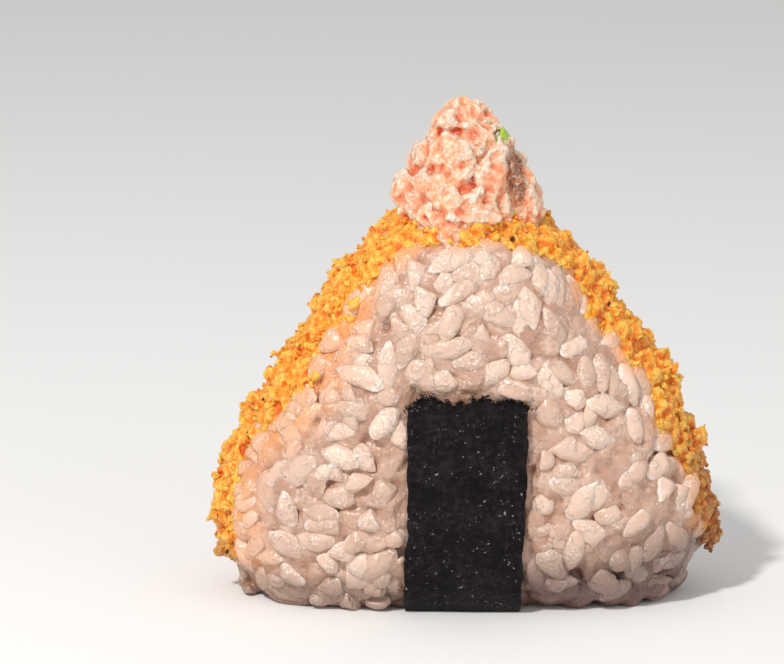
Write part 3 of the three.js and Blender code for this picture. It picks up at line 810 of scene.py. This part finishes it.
def coat_share(angles):
    """How thick the coat is, as a share: thin on both shoulders and at two dips in its outline."""
    thin = 0.75 * smooth_step(0.32, 0.5, angles) * smooth_step(1.6, 1.35, angles)
    thin = thin + 0.85 * smooth_step(1.5, 1.75, angles) * smooth_step(2.35, 2.1, angles)
    thin = thin + 0.5 * np.exp(-(((angles - 2.5) / 0.11) ** 2))
    return 1 - thin - 0.7 * np.exp(-(((angles + 0.25) / 0.12) ** 2))


def make_coat():
    """A sheet of crust with crumbs, lumps, clumps and spikes on it, fused into one skin."""
    random = np.random.default_rng(3)
    angles = np.repeat(np.linspace(COAT_START, COAT_END, COAT_ROWS), COAT_COLUMNS)
    shares = np.tile(np.linspace(1, -1, COAT_COLUMNS), COAT_ROWS)
    skin = coat_points(angles, shares)
    normals = unit(body_slope(skin))
    edge = np.minimum(1, 3 * (1 - np.abs(shares)))
    lifts = 0.2 + 1.1 * edge * coat_share(angles) + 0.5 * noise(skin, 2.5, 6)
    outer = skin + normals * lifts[:, None]
    sheet = split_quads(sheet_faces(COAT_ROWS, COAT_COLUMNS))
    pieces = [(np.concatenate((outer, skin - 0.3 * normals)), sheet)]

    angles = random.uniform(COAT_START, COAT_END, CRUMB_COUNT)
    shares = random.uniform(-1.02, 1.02, CRUMB_COUNT)
    radii = 0.4 + 0.8 * random.random(CRUMB_COUNT) ** 2.2
    middle = np.clip(2.4 * (1.08 - np.abs(shares)), 0, 1)
    lifts = random.uniform(0.2, 1.0, CRUMB_COUNT) * coat_share(angles)
    lifts = COAT_LIFT + COAT_THICKNESS * middle * lifts - 0.3 * radii
    pieces.append(seat_crumbs(random, angles, shares, radii, lifts, 0.6))

    angles = random.uniform(COAT_START + 0.03, COAT_END - 0.03, LUMP_COUNT)
    shares = random.uniform(-0.75, 0.75, LUMP_COUNT)
    radii = random.uniform(1.3, 2.1, LUMP_COUNT)
    lifts = random.uniform(0.3, 0.85, LUMP_COUNT) * coat_share(angles)
    lifts = COAT_LIFT + COAT_THICKNESS * lifts - 0.35 * radii
    pieces.append(seat_crumbs(random, angles, shares, radii, lifts, 0.5))

    count = CLUMP_CRUMBS
    for x, z, radius in COAT_CLUMPS:
        angles = float(direction_of(x, z)) + random.normal(0, radius / 70, count)
        shares = random.normal(0.15, 0.16, count)
        radii = radius * random.uniform(0.3, 0.65, count)
        lifts = COAT_LIFT + COAT_THICKNESS * coat_share(angles)
        lifts = lifts + random.uniform(-0.5, 0.4, count) * radius
        pieces.append(seat_crumbs(random, angles, shares, radii, lifts, 1.2))

    for x, z, length, drop in COAT_SPIKES:
        along = np.linspace(-0.35, 1, 9)
        seat = coat_points(direction_of(x, z)[None], np.array([0.2]))
        out = unit(body_slope(seat))[0]
        path = seat + out * (COAT_LIFT + COAT_THICKNESS - 0.5 + length * along[:, None])
        path[:, 2] -= drop * np.maximum(0, along) ** 2
        radii = 1.35 - 1.05 * np.maximum(0, along)
        grid = ball_grid(6, 8)
        frames = np.repeat(np.eye(3)[None], len(along), axis=0)
        pieces.append(scatter(crumbs(random, radii, grid), frames, path, grid[2]))

    points, faces = fuse(*join(pieces), COAT_VOXEL)
    normals = point_normals(points, faces)
    grit = 0.3 * granules(points, 1.7, 50) + 0.25 * granules(points, 0.9, 60)
    grit = grit + 0.4 * noise(points, 1.5, 8) + 0.3 * noise(points, 0.7, 9)
    return points + normals * (grit - 0.25)[:, None], faces


def make_loose_crumbs(skin, normals):
    """Crisp single crumbs caught on the coat's skin."""
    random = np.random.default_rng(13)
    chosen = random.choice(len(skin), LOOSE_CRUMB_COUNT, replace=False)
    chosen = chosen[body_value(skin[chosen]) > 0]
    count = len(chosen)
    radii = 0.22 + 0.45 * random.random(count) ** 2
    grid = ball_grid(5, 6)
    turn = random.uniform(0, 2 * np.pi, count)
    frames = place_on(normals[chosen], turn, random.uniform(-0.8, 0.8, count))
    centres = skin[chosen] + normals[chosen] * 0.15
    points, faces = scatter(crumbs(random, radii, grid), frames, centres, grid[2])
    return points, faces, np.repeat(random.uniform(-0.15, 0.35, count), len(grid[0]))


def coat_material(name):
    constants = {
        "Subsurface Weight": 0.3, "Subsurface Radius": (1.0, 0.6, 0.2),
        "Subsurface Scale": 0.8 * MM, "Specular IOR Level": 0.8,
    }
    material, place, feed = new_material(name, constants)
    patch = place.noise(4.5, 3.0, 0.6)
    speckle = place.noise(0.9, 3.0, 0.7)
    # Painted shade and highlight: the crest term makes crevices deep orange and crests gold, over
    # the coat's own patches and specks.
    tone = patch * 0.5 + speckle * 0.7 + place.value_of("crest") * 1.5 - 0.1
    color = tone.ramp([(0.22, COAT_DEEP), (0.48, COAT_ORANGE), (0.8, COAT_GOLD)])
    color = (place.value_of("brown") * (0.35 + patch * 0.9)).mix(color, COAT_BROWN)
    burnt = place.cells(6.0).step(0.11, 0.07) * place.noise(7.0).step(0.47, 0.57)
    color = burnt.mix(color, COAT_BURNT)
    glitter = place.noise(0.45, 2.0, 0.6).step(0.58, 0.68) * place.noise(1.8, 2.0).step(0.45, 0.6)
    color = (glitter * 0.6).mix(color, COAT_SHINE)
    relief = place.noise(0.4, 2.0, 0.5).bump(0.5, 1.0)
    feed(Base_Color=color, Normal=relief, Roughness=0.45 - 0.28 * patch.step(0.4, 0.65))
    return material


def brown_of(points):
    """The coat is browner low on the right and at its left end."""
    x, _, z = points.T
    return smooth_step(36, 8, z) * smooth_step(18, 34, x) + 0.8 * smooth_step(12, 5, z) * (x < 0)


points, faces = make_coat()
fried_coat = coat_material("fried_coat")
values = {"crest": crest_of(points, faces), "brown": brown_of(points)}
crumb_crust = new_piece("crumb_crust", points, faces, fried_coat, values)
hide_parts("crumb_coat")
points, faces, tones = make_loose_crumbs(points, point_normals(points, faces))
values = {"crest": tones, "brown": brown_of(points)}
loose_crumbs = new_piece("loose_crumbs", points, faces, fried_coat, values)
loose_crumbs.data.polygons.foreach_set("use_smooth", np.zeros(len(faces), bool))
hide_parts("crumb_coat")

# ---- Nori strip ----
# A strip of pressed, roasted seaweed, a fraction of a millimetre thick. It is folded under the
# base and up both faces, where it has taken up moisture, crinkled and stuck to the rice.

NORI_THICKNESS = 0.45
NORI_LIFT = 2.0
NORI_WAVE = 0.22
NORI_TEAR = 0.9
NORI_STEP_OUT = 0.5
NORI_TAPER = 0.75
NORI_STEPS = 260
NORI_ROWS = 270
NORI_COLUMNS = 60
NORI_HAIRS = 700

NORI_BLACK = paint(13, 10, 11)
NORI_BROWN = paint(44, 36, 38)
NORI_GREEN = paint(92, 92, 74)
NORI_GLINT = paint(176, 170, 168)


def nori_half_width(height, side):
    """Half the strip's width: it steps out low on the left and narrows downwards on the right."""
    step_out = np.where(side < 0, NORI_STEP_OUT * smooth_step(13, 10.5, height), 0)
    taper = np.where(side > 0, NORI_TAPER * smooth_step(30, 2, height), 0)
    return 0.5 * NORI_WIDTH - 0.2 + step_out - taper + 0.07 * np.sin(0.9 * height + side)


def nori_top(share):
    """Height of the torn end across the strip: teeth, a notch in the middle, rounded corners."""
    teeth = 0.5 * np.sin(7 * share + 0.5)
    notch = 0.9 * np.exp(-((share / 0.16) ** 2))
    corner = 5.2 * np.maximum(0, np.abs(share) - 0.75)
    return NORI_TOP_Z + NORI_TEAR * (teeth - notch) - corner


def make_nori():
    """A sheet bent round the base, with the fine hairs of its torn ends."""
    random = np.random.default_rng(17)
    shares = np.linspace(-1, 1, NORI_COLUMNS)
    steps = np.linspace(-0.75, np.pi + 0.75, NORI_STEPS)
    directions = np.stack((0 * steps, -np.cos(steps), -np.sin(steps)), axis=1)
    outer = []
    for share in shares:
        start = BODY_CENTRE + (share * 0.5 * NORI_WIDTH, 0, 0)
        path = body_points(directions, start)
        normals = body_slope(path)
        normals[:, 0] = 0
        path = path + unit(normals) * NORI_LIFT
        fringe = random.uniform(-0.45, 0.35, 2)
        tops = nori_top(share) + fringe
        ends = np.where(path[:, 1] < 0, tops[0], tops[1])
        path = path[path[:, 2] < ends]
        path[:, 2] = np.maximum(path[:, 2], 0)
        lengths = np.concatenate(([0], np.cumsum(np.linalg.norm(np.diff(path, axis=0), axis=1))))
        even = np.linspace(0, lengths[-1], NORI_ROWS)
        line = [np.interp(even, lengths, path[:, axis]) for axis in range(3)]
        outer.append(np.stack(line, axis=1))
    outer = np.array(outer)
    inward = np.zeros_like(outer)
    slope = np.gradient(outer, axis=1)
    inward[..., 1] = -slope[..., 2]
    inward[..., 2] = slope[..., 1]
    inward = unit(inward)
    flat = outer.reshape(-1, 3)
    wave = NORI_WAVE * ripple(1.6 * flat[:, 0], 9, flat[:, 2], 2.1)
    for size, height, seed in ((3.6, 0.22, 21), (1.3, 0.10, 22), (0.6, 0.06, 23)):
        wave = wave + height * noise(flat, size, seed)
    wave = wave * smooth_step(0.4, 4, flat[:, 2])
    face = flat - inward.reshape(-1, 3) * wave[:, None]
    share = np.repeat(shares, NORI_ROWS)
    fray = 0.16 * noise(face * (0, 1, 1), 0.9, 24)
    face[:, 0] = share * (nori_half_width(face[:, 2], np.sign(share)) + fray)
    face[:, 2] = np.maximum(face[:, 2], 0)
    back = face + inward.reshape(-1, 3) * NORI_THICKNESS
    strip = (np.concatenate((face, back)), split_quads(sheet_faces(NORI_COLUMNS, NORI_ROWS)))

    rows = face.reshape(NORI_COLUMNS, NORI_ROWS, 3)
    ends = np.concatenate((rows[:, 0], rows[:, -1]))
    roots = ends[random.integers(0, len(ends), NORI_HAIRS)] + random.normal(0, 0.2, (NORI_HAIRS, 3))
    grid = ball_grid(5, 5)
    share, angle, _ = grid
    lengths = random.uniform(0.3, 1.0, (NORI_HAIRS, 1))
    thin = 0.09 * np.sqrt(1 - share ** 2)
    curl = random.uniform(-0.25, 0.25, (NORI_HAIRS, 1)) * share ** 2
    hairs = np.stack(np.broadcast_arrays(
        thin * np.cos(angle) + curl, 0.5 * lengths * share, thin * np.sin(angle)), axis=2)
    out = unit(body_slope(roots))
    turn = random.uniform(0, np.pi, NORI_HAIRS)
    frames = place_on(out, turn, random.uniform(-0.1, 0.6, NORI_HAIRS))
    return join([strip, scatter(hairs, frames, roots - 0.1 * out, grid[2])])


def nori_material(name):
    constants = {"Specular IOR Level": 0.12}
    material, place, feed = new_material(name, constants)
    mottle = place.noise(0.9, 4.0, 0.7) * 0.7 + place.noise(5.0) * 0.3
    color = mottle.step(0.42, 0.66).mix(NORI_BLACK, NORI_BROWN)
    color = (place.noise(3.1, 3.0).step(0.7, 0.76) * 0.4).mix(color, NORI_GREEN)
    fibre = place.noise(0.6, 4.0, 0.7)
    glint = place.noise(0.6, 3.0, 0.65).step(0.64, 0.7) * place.noise(2.6, 2.0).step(0.43, 0.55)
    color = (glint * 0.9).mix(color, NORI_GLINT)
    relief = fibre.bump(0.6, 1.0, place.noise(1.5, 2.0).bump(0.4, 1.0))
    feed(Base_Color=color, Normal=relief, Roughness=0.5 - 0.3 * glint - 0.2 * fibre)
    return material


points, faces = make_nori()
nori_strip = new_piece("nori_strip", points, faces, nori_material("nori"))
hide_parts("nori")

# ---- Flaked salmon ----
# Cooked salmon pulled into moist flakes, mixed with a little cream and piled on the tip. Pale
# flakes lie over each other, with deeper pink painted into the hollows as shade, paler crests
# painted as highlight, and one grilled edge at the right.

TOPPING_WIDTH = 25.4
TOPPING_DEPTH = 24
TOPPING_PEAK_Z = 80.2
TOPPING_FOOT_Z = TIP_Z + TIP_RADIUS - 8
TOPPING_X = 0.2
TOPPING_LEAN = 0.5
TOPPING_LIFT = COAT_LIFT + COAT_THICKNESS + 0.3
TOPPING_VOXEL = 0.25
BACK_FLAKE_COUNT = 52
SHRED_COUNT = 60
TONGUE_AT = (1.4, -9, 62.0)
TONGUE_SIZE = (1.9, 4.6, 1.5)
# The flakes on the front: x, z, length, width, thickness, the angle they lie at and how proud.
FRONT_FLAKES = [
    (-0.9, 79.0, 5.0, 2.6, 2.0, 0.3, 0.0), (-3.8, 77.9, 5.2, 3.0, 1.8, 1.0, 0.1),
    (-3.0, 76.7, 4.0, 3.4, 2.8, 0.1, 0.8), (2.0, 78.0, 3.6, 1.8, 1.4, -0.5, 0.2),
    (0.9, 76.4, 4.0, 3.0, 2.0, 1.2, 0.1), (3.3, 74.3, 5.0, 3.0, 2.0, 1.1, 0.0),
    (-0.4, 77.8, 3.6, 3.0, 2.2, 0.2, 0.2),
    (-2.8, 71.9, 7.4, 5.0, 3.6, 0.1, 1.5), (-6.4, 75.0, 4.6, 2.6, 1.6, 1.1, 0.0),
    (-8.8, 70.6, 6.6, 4.2, 1.8, 1.0, 0.1), (-8.6, 66.8, 6.8, 3.8, 2.0, 0.8, 0.6),
    (-10.6, 64.0, 4.0, 3.0, 2.0, 1.2, 0.0), (-4.0, 66.4, 7.6, 3.6, 2.2, -0.75, 0.9),
    (-0.7, 69.2, 6.0, 2.6, 1.9, 0.85, 1.1), (0.6, 65.2, 4.6, 2.6, 2.0, 1.0, 0.8),
    (-2.0, 62.8, 5.0, 1.5, 1.3, -0.1, 1.2), (4.3, 67.4, 11.0, 4.4, 2.6, 1.25, 1.0),
    (7.0, 70.5, 8.5, 2.0, 1.6, 1.75, 0.5), (8.9, 72.6, 3.4, 2.2, 1.6, 0.6, 0.0),
    (9.9, 67.6, 5.4, 3.0, 2.2, 1.7, 0.4), (11.4, 68.6, 3.4, 2.6, 2.0, 0.4, -0.3),
    (11.0, 64.3, 4.2, 3.0, 2.2, -0.3, 0.2), (-7.2, 63.2, 3.8, 1.2, 1.0, 0.9, 1.3),
    (-5.8, 62.4, 3.4, 1.1, 1.0, -0.8, 1.4), (7.2, 63.6, 6.0, 2.2, 1.6, 1.2, 0.6),
    (-11.6, 65.8, 6.0, 3.6, 2.4, 1.3, 2.0), (11.8, 66.0, 4.4, 3.0, 2.2, -0.9, 0.5),
]
GRILLED_X = 7.7
GRILLED_Z = 68.4
GRILLED_HALF_LENGTH = 5.0
GRILLED_HALF_WIDTH = 1.6

SALMON_PALE = paint(253, 230, 208)
SALMON_PINK = paint(248, 176, 132)
SALMON_DEEP = paint(224, 92, 38)
SALMON_GRILLED = paint(134, 76, 42)
SALMON_SHINE = paint(255, 250, 238)


def mound_point(turn, rise):
    """Points of the mound under the flakes, by the turn round it and the rise up it, 0 to 1."""
    share = np.maximum(0, 1 - rise ** 1.7) ** 0.75
    share = share * (1 + 0.07 * np.sin(3 * turn + 4 * rise) + 0.05 * np.sin(5 * turn - 3))
    return np.stack((
        TOPPING_X - TOPPING_LEAN * rise + 0.5 * TOPPING_WIDTH * share * np.cos(turn),
        0.5 * TOPPING_DEPTH * share * np.sin(turn),
        TOPPING_FOOT_Z + (TOPPING_PEAK_Z - TOPPING_FOOT_Z) * rise), axis=1)


def flakes(random, lengths, widths, thicknesses, grid):
    """Torn flakes: slabs that curl across, bend along and have a ragged, ribbed skin."""
    share, angle, _ = grid
    count = len(lengths)
    profile = np.sqrt(1 - np.abs(share) ** 2.6)
    x = 0.5 * widths[:, None] * profile * np.cos(angle)
    z = 0.5 * thicknesses[:, None] * profile * np.sin(angle)
    y = 0.5 * lengths[:, None] * share
    curl = random.uniform(-0.5, 0.3, (count, 1)) * x ** 2
    curl = curl - random.uniform(0, 0.8, (count, 1)) * y ** 2
    ribs = 0.13 * np.sin(2 * np.pi * (y + 0.4 * x) / random.uniform(1.3, 2.2, (count, 1)))
    points = np.stack((x, y, z + curl / lengths[:, None] + ribs * np.sign(z)), axis=2)
    spread = (points + random.uniform(0, 500, (count, 1, 3))).reshape(-1, 3)
    tear = 0.5 * noise(spread, 1.8, 31) + 0.25 * noise(spread, 0.8, 32)
    return points + (tear[:, None] * unit(points.reshape(-1, 3) + 1e-9)).reshape(points.shape)


def front_turn(x, rise):
    """Where round the mound a place on its front is, from its x and its height."""
    edge = np.abs(mound_point(np.zeros_like(rise), rise)[:, 0])
    return -np.arccos(np.clip(x / np.maximum(edge, 1), -0.97, 0.97))


def make_topping():
    """A mound with flakes all over it and a lobe that hangs over the front, fused and softened."""
    random = np.random.default_rng(29)
    share, angle, faces = ball_grid(40, 60)
    rise = 0.48 * (1 + share)
    mound = mound_point(angle, rise)
    poles = np.abs(share) == 1
    mound[poles, 0] = TOPPING_X - TOPPING_LEAN * rise[poles]
    mound[poles, 1] = 0
    middle = np.array((TOPPING_X, 0, TOPPING_FOOT_Z + 6))
    mound = middle + (mound - middle) * 0.93
    mound = mound + 0.9 * noise(mound, 3.6, 33)[:, None]
    pieces = [(mound, faces)]

    grid = ball_grid(12, 16)
    x, z, lengths, widths, thicknesses, lean, proud = np.array(FRONT_FLAKES).T
    rise = np.clip((z - TOPPING_FOOT_Z) / (TOPPING_PEAK_Z - TOPPING_FOOT_Z), 0, 0.97)
    front = [front_turn(x, rise), rise, lengths * 1.1, widths * 1.15, thicknesses, lean,
             0.7 * proud - 0.9]
    count = BACK_FLAKE_COUNT
    rise = 0.16 + 0.76 * (np.arange(count) + random.random(count)) / count
    turn = 0.25 + (np.pi - 0.5) * random.permutation(count) / count
    small = 1 - 0.35 * rise
    back = [turn, rise, random.uniform(4.5, 8.5, count) * small,
            random.uniform(2.4, 4.8, count) * small, random.uniform(1.5, 2.8, count),
            random.normal(1.0, 0.7, count), random.uniform(-1, 0.2, count)]
    count = SHRED_COUNT
    rise = 0.12 + 0.82 * random.random(count)
    shreds = [random.uniform(-np.pi, np.pi, count), rise, random.uniform(1.6, 3.8, count),
              random.uniform(0.8, 1.5, count), random.uniform(0.6, 1.0, count),
              random.uniform(0, np.pi, count), random.uniform(-0.6, 0.2, count)]
    for turn, rise, lengths, widths, thicknesses, lean, proud in (front, back, shreds):
        seats = mound_point(turn, rise)
        out = unit(np.stack((np.cos(turn), np.sin(turn), 0.5 * rise), axis=1))
        frames = place_on(out, lean, random.normal(0.05, 0.16, len(turn)))
        shapes = flakes(random, lengths, widths, thicknesses, grid)
        pieces.append(scatter(shapes, frames, seats + out * proud[:, None], grid[2]))

    hang = body_points(unit(np.array([TONGUE_AT]) - BODY_CENTRE))
    hang_normal = unit(body_slope(hang))
    frame = place_on(hang_normal, np.array([np.pi / 2]), np.array([0.0]))
    share, angle, tongue_faces = ball_grid(14, 18)
    tongue = ball_points(share, angle) * TONGUE_SIZE
    pieces.append(scatter(tongue[None], frame, hang + hang_normal * TOPPING_LIFT, tongue_faces))
    points, faces = fuse(*join(pieces), TOPPING_VOXEL)
    points = relax(points, faces, 8)
    normals = point_normals(points, faces)
    grain = 0.16 * noise(points, 0.6, 35) + 0.35 * noise(points, 1.3, 36)
    grain = grain + 0.3 * noise(points, 2.4, 37)
    return points + normals * grain[:, None], faces


def salmon_material(name):
    constants = {
        "Subsurface Weight": 0.6, "Subsurface Radius": (1.0, 0.6, 0.4),
        "Subsurface Scale": 1.5 * MM, "IOR": 1.5, "Specular IOR Level": 0.9,
    }
    material, place, feed = new_material(name, constants)
    streak = place.noise(2.4, 4.0, 0.65)
    # Painted shade and highlight: the crest and grain terms deepen the pink in the hollows and pale
    # the crests, over the flesh's own streaks.
    tone = streak * 1.1 + place.value_of("crest") * 0.5 + place.value_of("grain") * 0.8 - 0.08
    color = tone.ramp([(0.14, SALMON_DEEP), (0.46, SALMON_PINK), (0.78, SALMON_PALE)])
    charred = (place.noise(0.8, 3.0).step(0.48, 0.62) * 0.6).mix(SALMON_GRILLED, SALMON_PINK)
    color = place.value_of("grilled").mix(color, charred)
    wet = place.noise(2.4, 2.0).step(0.42, 0.6)
    grit = place.noise(0.5, 2.0, 0.6)
    color = (grit.step(0.54, 0.66) * wet * 0.8).mix(color, SALMON_SHINE)
    relief = (grit * (0.15 + 0.85 * wet)).bump(0.8, 1.0, place.noise(1.4, 2.0).bump(0.3, 1.0))
    feed(Base_Color=color, Normal=relief, Roughness=0.32 - 0.16 * wet)
    return material


def grilled_of(points):
    """The browned patch of fish skin down the right flank."""
    x, y, z = points.T
    along = np.abs(z - GRILLED_Z) / GRILLED_HALF_LENGTH
    across = np.abs(x - GRILLED_X - 0.1 * (GRILLED_Z - z)) / GRILLED_HALF_WIDTH
    return 0.9 * smooth_step(1.25, 0.6, np.hypot(along, across)) * (y < 1)


points, faces = make_topping()
salmon_flakes = new_piece("salmon_flakes", points, faces, salmon_material("salmon"), {
    "crest": crest_of(points, faces, 60),
    "grain": crest_of(points, faces, 5),
    "grilled": grilled_of(points),
})
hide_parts("salmon_topping")

# ---- Spring onion chip ----
# A short cut from the green end of a spring onion: part of a hollow leaf, glossy and faintly
# veined, that lies on the salmon's right flank and is half pushed into it.

ONION_RADIUS = 2.2
ONION_WALL = 0.8
ONION_LENGTH = 2.6
ONION_ARC = (0.5, 2.3)
ONION_TURN = -1.9
ONION_LEAN = 0.5
ONION_ROLL = -0.65
ONION_PLACE = (4.5, -1.0, 73.5)

ONION_GREEN = paint(156, 192, 10)
ONION_PALE = paint(206, 226, 130)


def make_onion():
    """Part of a ring of leaf with two rounded cut ends, leaned and rolled on to the flank."""
    rows, columns = 40, 24
    angle = np.repeat(np.linspace(*ONION_ARC, rows), columns) + ONION_TURN
    along = np.tile(np.linspace(-0.5, 0.5, columns), rows)
    ends = np.minimum(1, np.minimum(along + 0.5, 0.5 - along) * 12 + 0.35)
    sides = np.abs(np.repeat(np.linspace(-1, 1, rows), columns))
    ends = ends * np.minimum(1, (1 - sides) * 9 + 0.4)
    middle = ONION_RADIUS - 0.5 * ONION_WALL
    walls = []
    for side in (1, -1):
        radius = middle + side * 0.5 * ONION_WALL * ends
        wall = (radius * np.cos(angle), radius * np.sin(angle), along * ONION_LENGTH)
        walls.append(np.stack(wall, axis=1))
    points = np.concatenate(walls)
    points = points + 0.06 * noise(points, 0.9, 41)[:, None]
    sin, cos = np.sin(ONION_LEAN), np.cos(ONION_LEAN)
    lean = np.array(((1, 0, 0), (0, cos, -sin), (0, sin, cos)))
    sin, cos = np.sin(ONION_ROLL), np.cos(ONION_ROLL)
    roll = np.array(((cos, 0, sin), (0, 1, 0), (-sin, 0, cos)))
    return points @ lean.T @ roll.T + ONION_PLACE, split_quads(sheet_faces(rows, columns))


def onion_material(name):
    constants = {
        "Subsurface Weight": 0.4, "Subsurface Radius": (0.5, 1.0, 0.2),
        "Subsurface Scale": 0.8 * MM,
    }
    material, place, feed = new_material(name, constants)
    veins = place.noise(0.5, 3.0, 0.6)
    color = veins.step(0.35, 0.75).mix(ONION_GREEN, ONION_PALE)
    feed(Base_Color=color, Normal=veins.bump(0.05, 0.6), Roughness=0.2 + 0.2 * veins)
    return material


points, faces = make_onion()
onion_chip = new_piece("onion_chip", points, faces, onion_material("spring_onion"))
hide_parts("spring_onion")

# ---- Studio ----
# A pale table, soft light from the upper left and a camera in front, a little above the base.

IMAGE_SIZE = (784, 664)
PIXELS_PER_MM = 6.27
OBJECT_PIXEL_X = 467
BASE_PIXEL_Y = 612
FOOT_DROP = 3.3  # how far below the middle of the base its front edge shows
CAMERA_LIFT = np.radians(12)
CAMERA_DISTANCE = 0.52
SENSOR_WIDTH = 36


def add_light(name, place, target, size, power, color):
    data = bpy.data.lights.new(name, "AREA")
    data.shape = "DISK"
    data.size = size
    data.energy = power
    data.color = color
    light = bpy.data.objects.new(name, data)
    light.location = place
    light.rotation_euler = (Vector(target) - Vector(place)).to_track_quat("-Z", "Y").to_euler()
    bpy.context.scene.collection.objects.link(light)


def add_floor():
    bpy.ops.mesh.primitive_plane_add(size=6, location=(0, 0, -0.0001))
    floor = bpy.context.object
    floor.name = "floor"
    material, _, _ = new_material("floor", {"Base Color": (0.93, 0.93, 0.93, 1), "Roughness": 0.9})
    floor.data.materials.append(material)


def add_camera():
    data = bpy.data.cameras.new("camera")
    data.sensor_width = SENSOR_WIDTH
    view_width = IMAGE_SIZE[0] / PIXELS_PER_MM * MM
    data.lens = SENSOR_WIDTH * CAMERA_DISTANCE / view_width
    data.clip_start = 0.01
    camera = bpy.data.objects.new("camera", data)
    aim_x = -(OBJECT_PIXEL_X - IMAGE_SIZE[0] / 2) / PIXELS_PER_MM
    below = (BASE_PIXEL_Y - IMAGE_SIZE[1] / 2) / PIXELS_PER_MM
    aim = Vector((aim_x, 0, (below - FOOT_DROP) / np.cos(CAMERA_LIFT))) * MM
    camera.location = aim + CAMERA_DISTANCE * Vector((0, -np.cos(CAMERA_LIFT), np.sin(CAMERA_LIFT)))
    camera.rotation_euler = (aim - camera.location).to_track_quat("-Z", "Y").to_euler()
    bpy.context.scene.collection.objects.link(camera)
    bpy.context.scene.camera = camera


add_floor()
add_light("key", (-0.36, -0.55, 0.74), (0, 0, 0.04), 0.09, 6.0, (1.0, 0.97, 0.94))
add_light("fill", (0.7, -0.7, 0.3), (0, 0, 0.03), 0.9, 1.5, (1.0, 0.98, 0.96))
world = bpy.data.worlds.new("studio")
world.use_nodes = True
world.node_tree.nodes["Background"].inputs["Color"].default_value = (1.0, 0.995, 0.985, 1)
world.node_tree.nodes["Background"].inputs["Strength"].default_value = 0.54
bpy.context.scene.world = world
bpy.context.scene.view_settings.view_transform = "Standard"
add_camera()
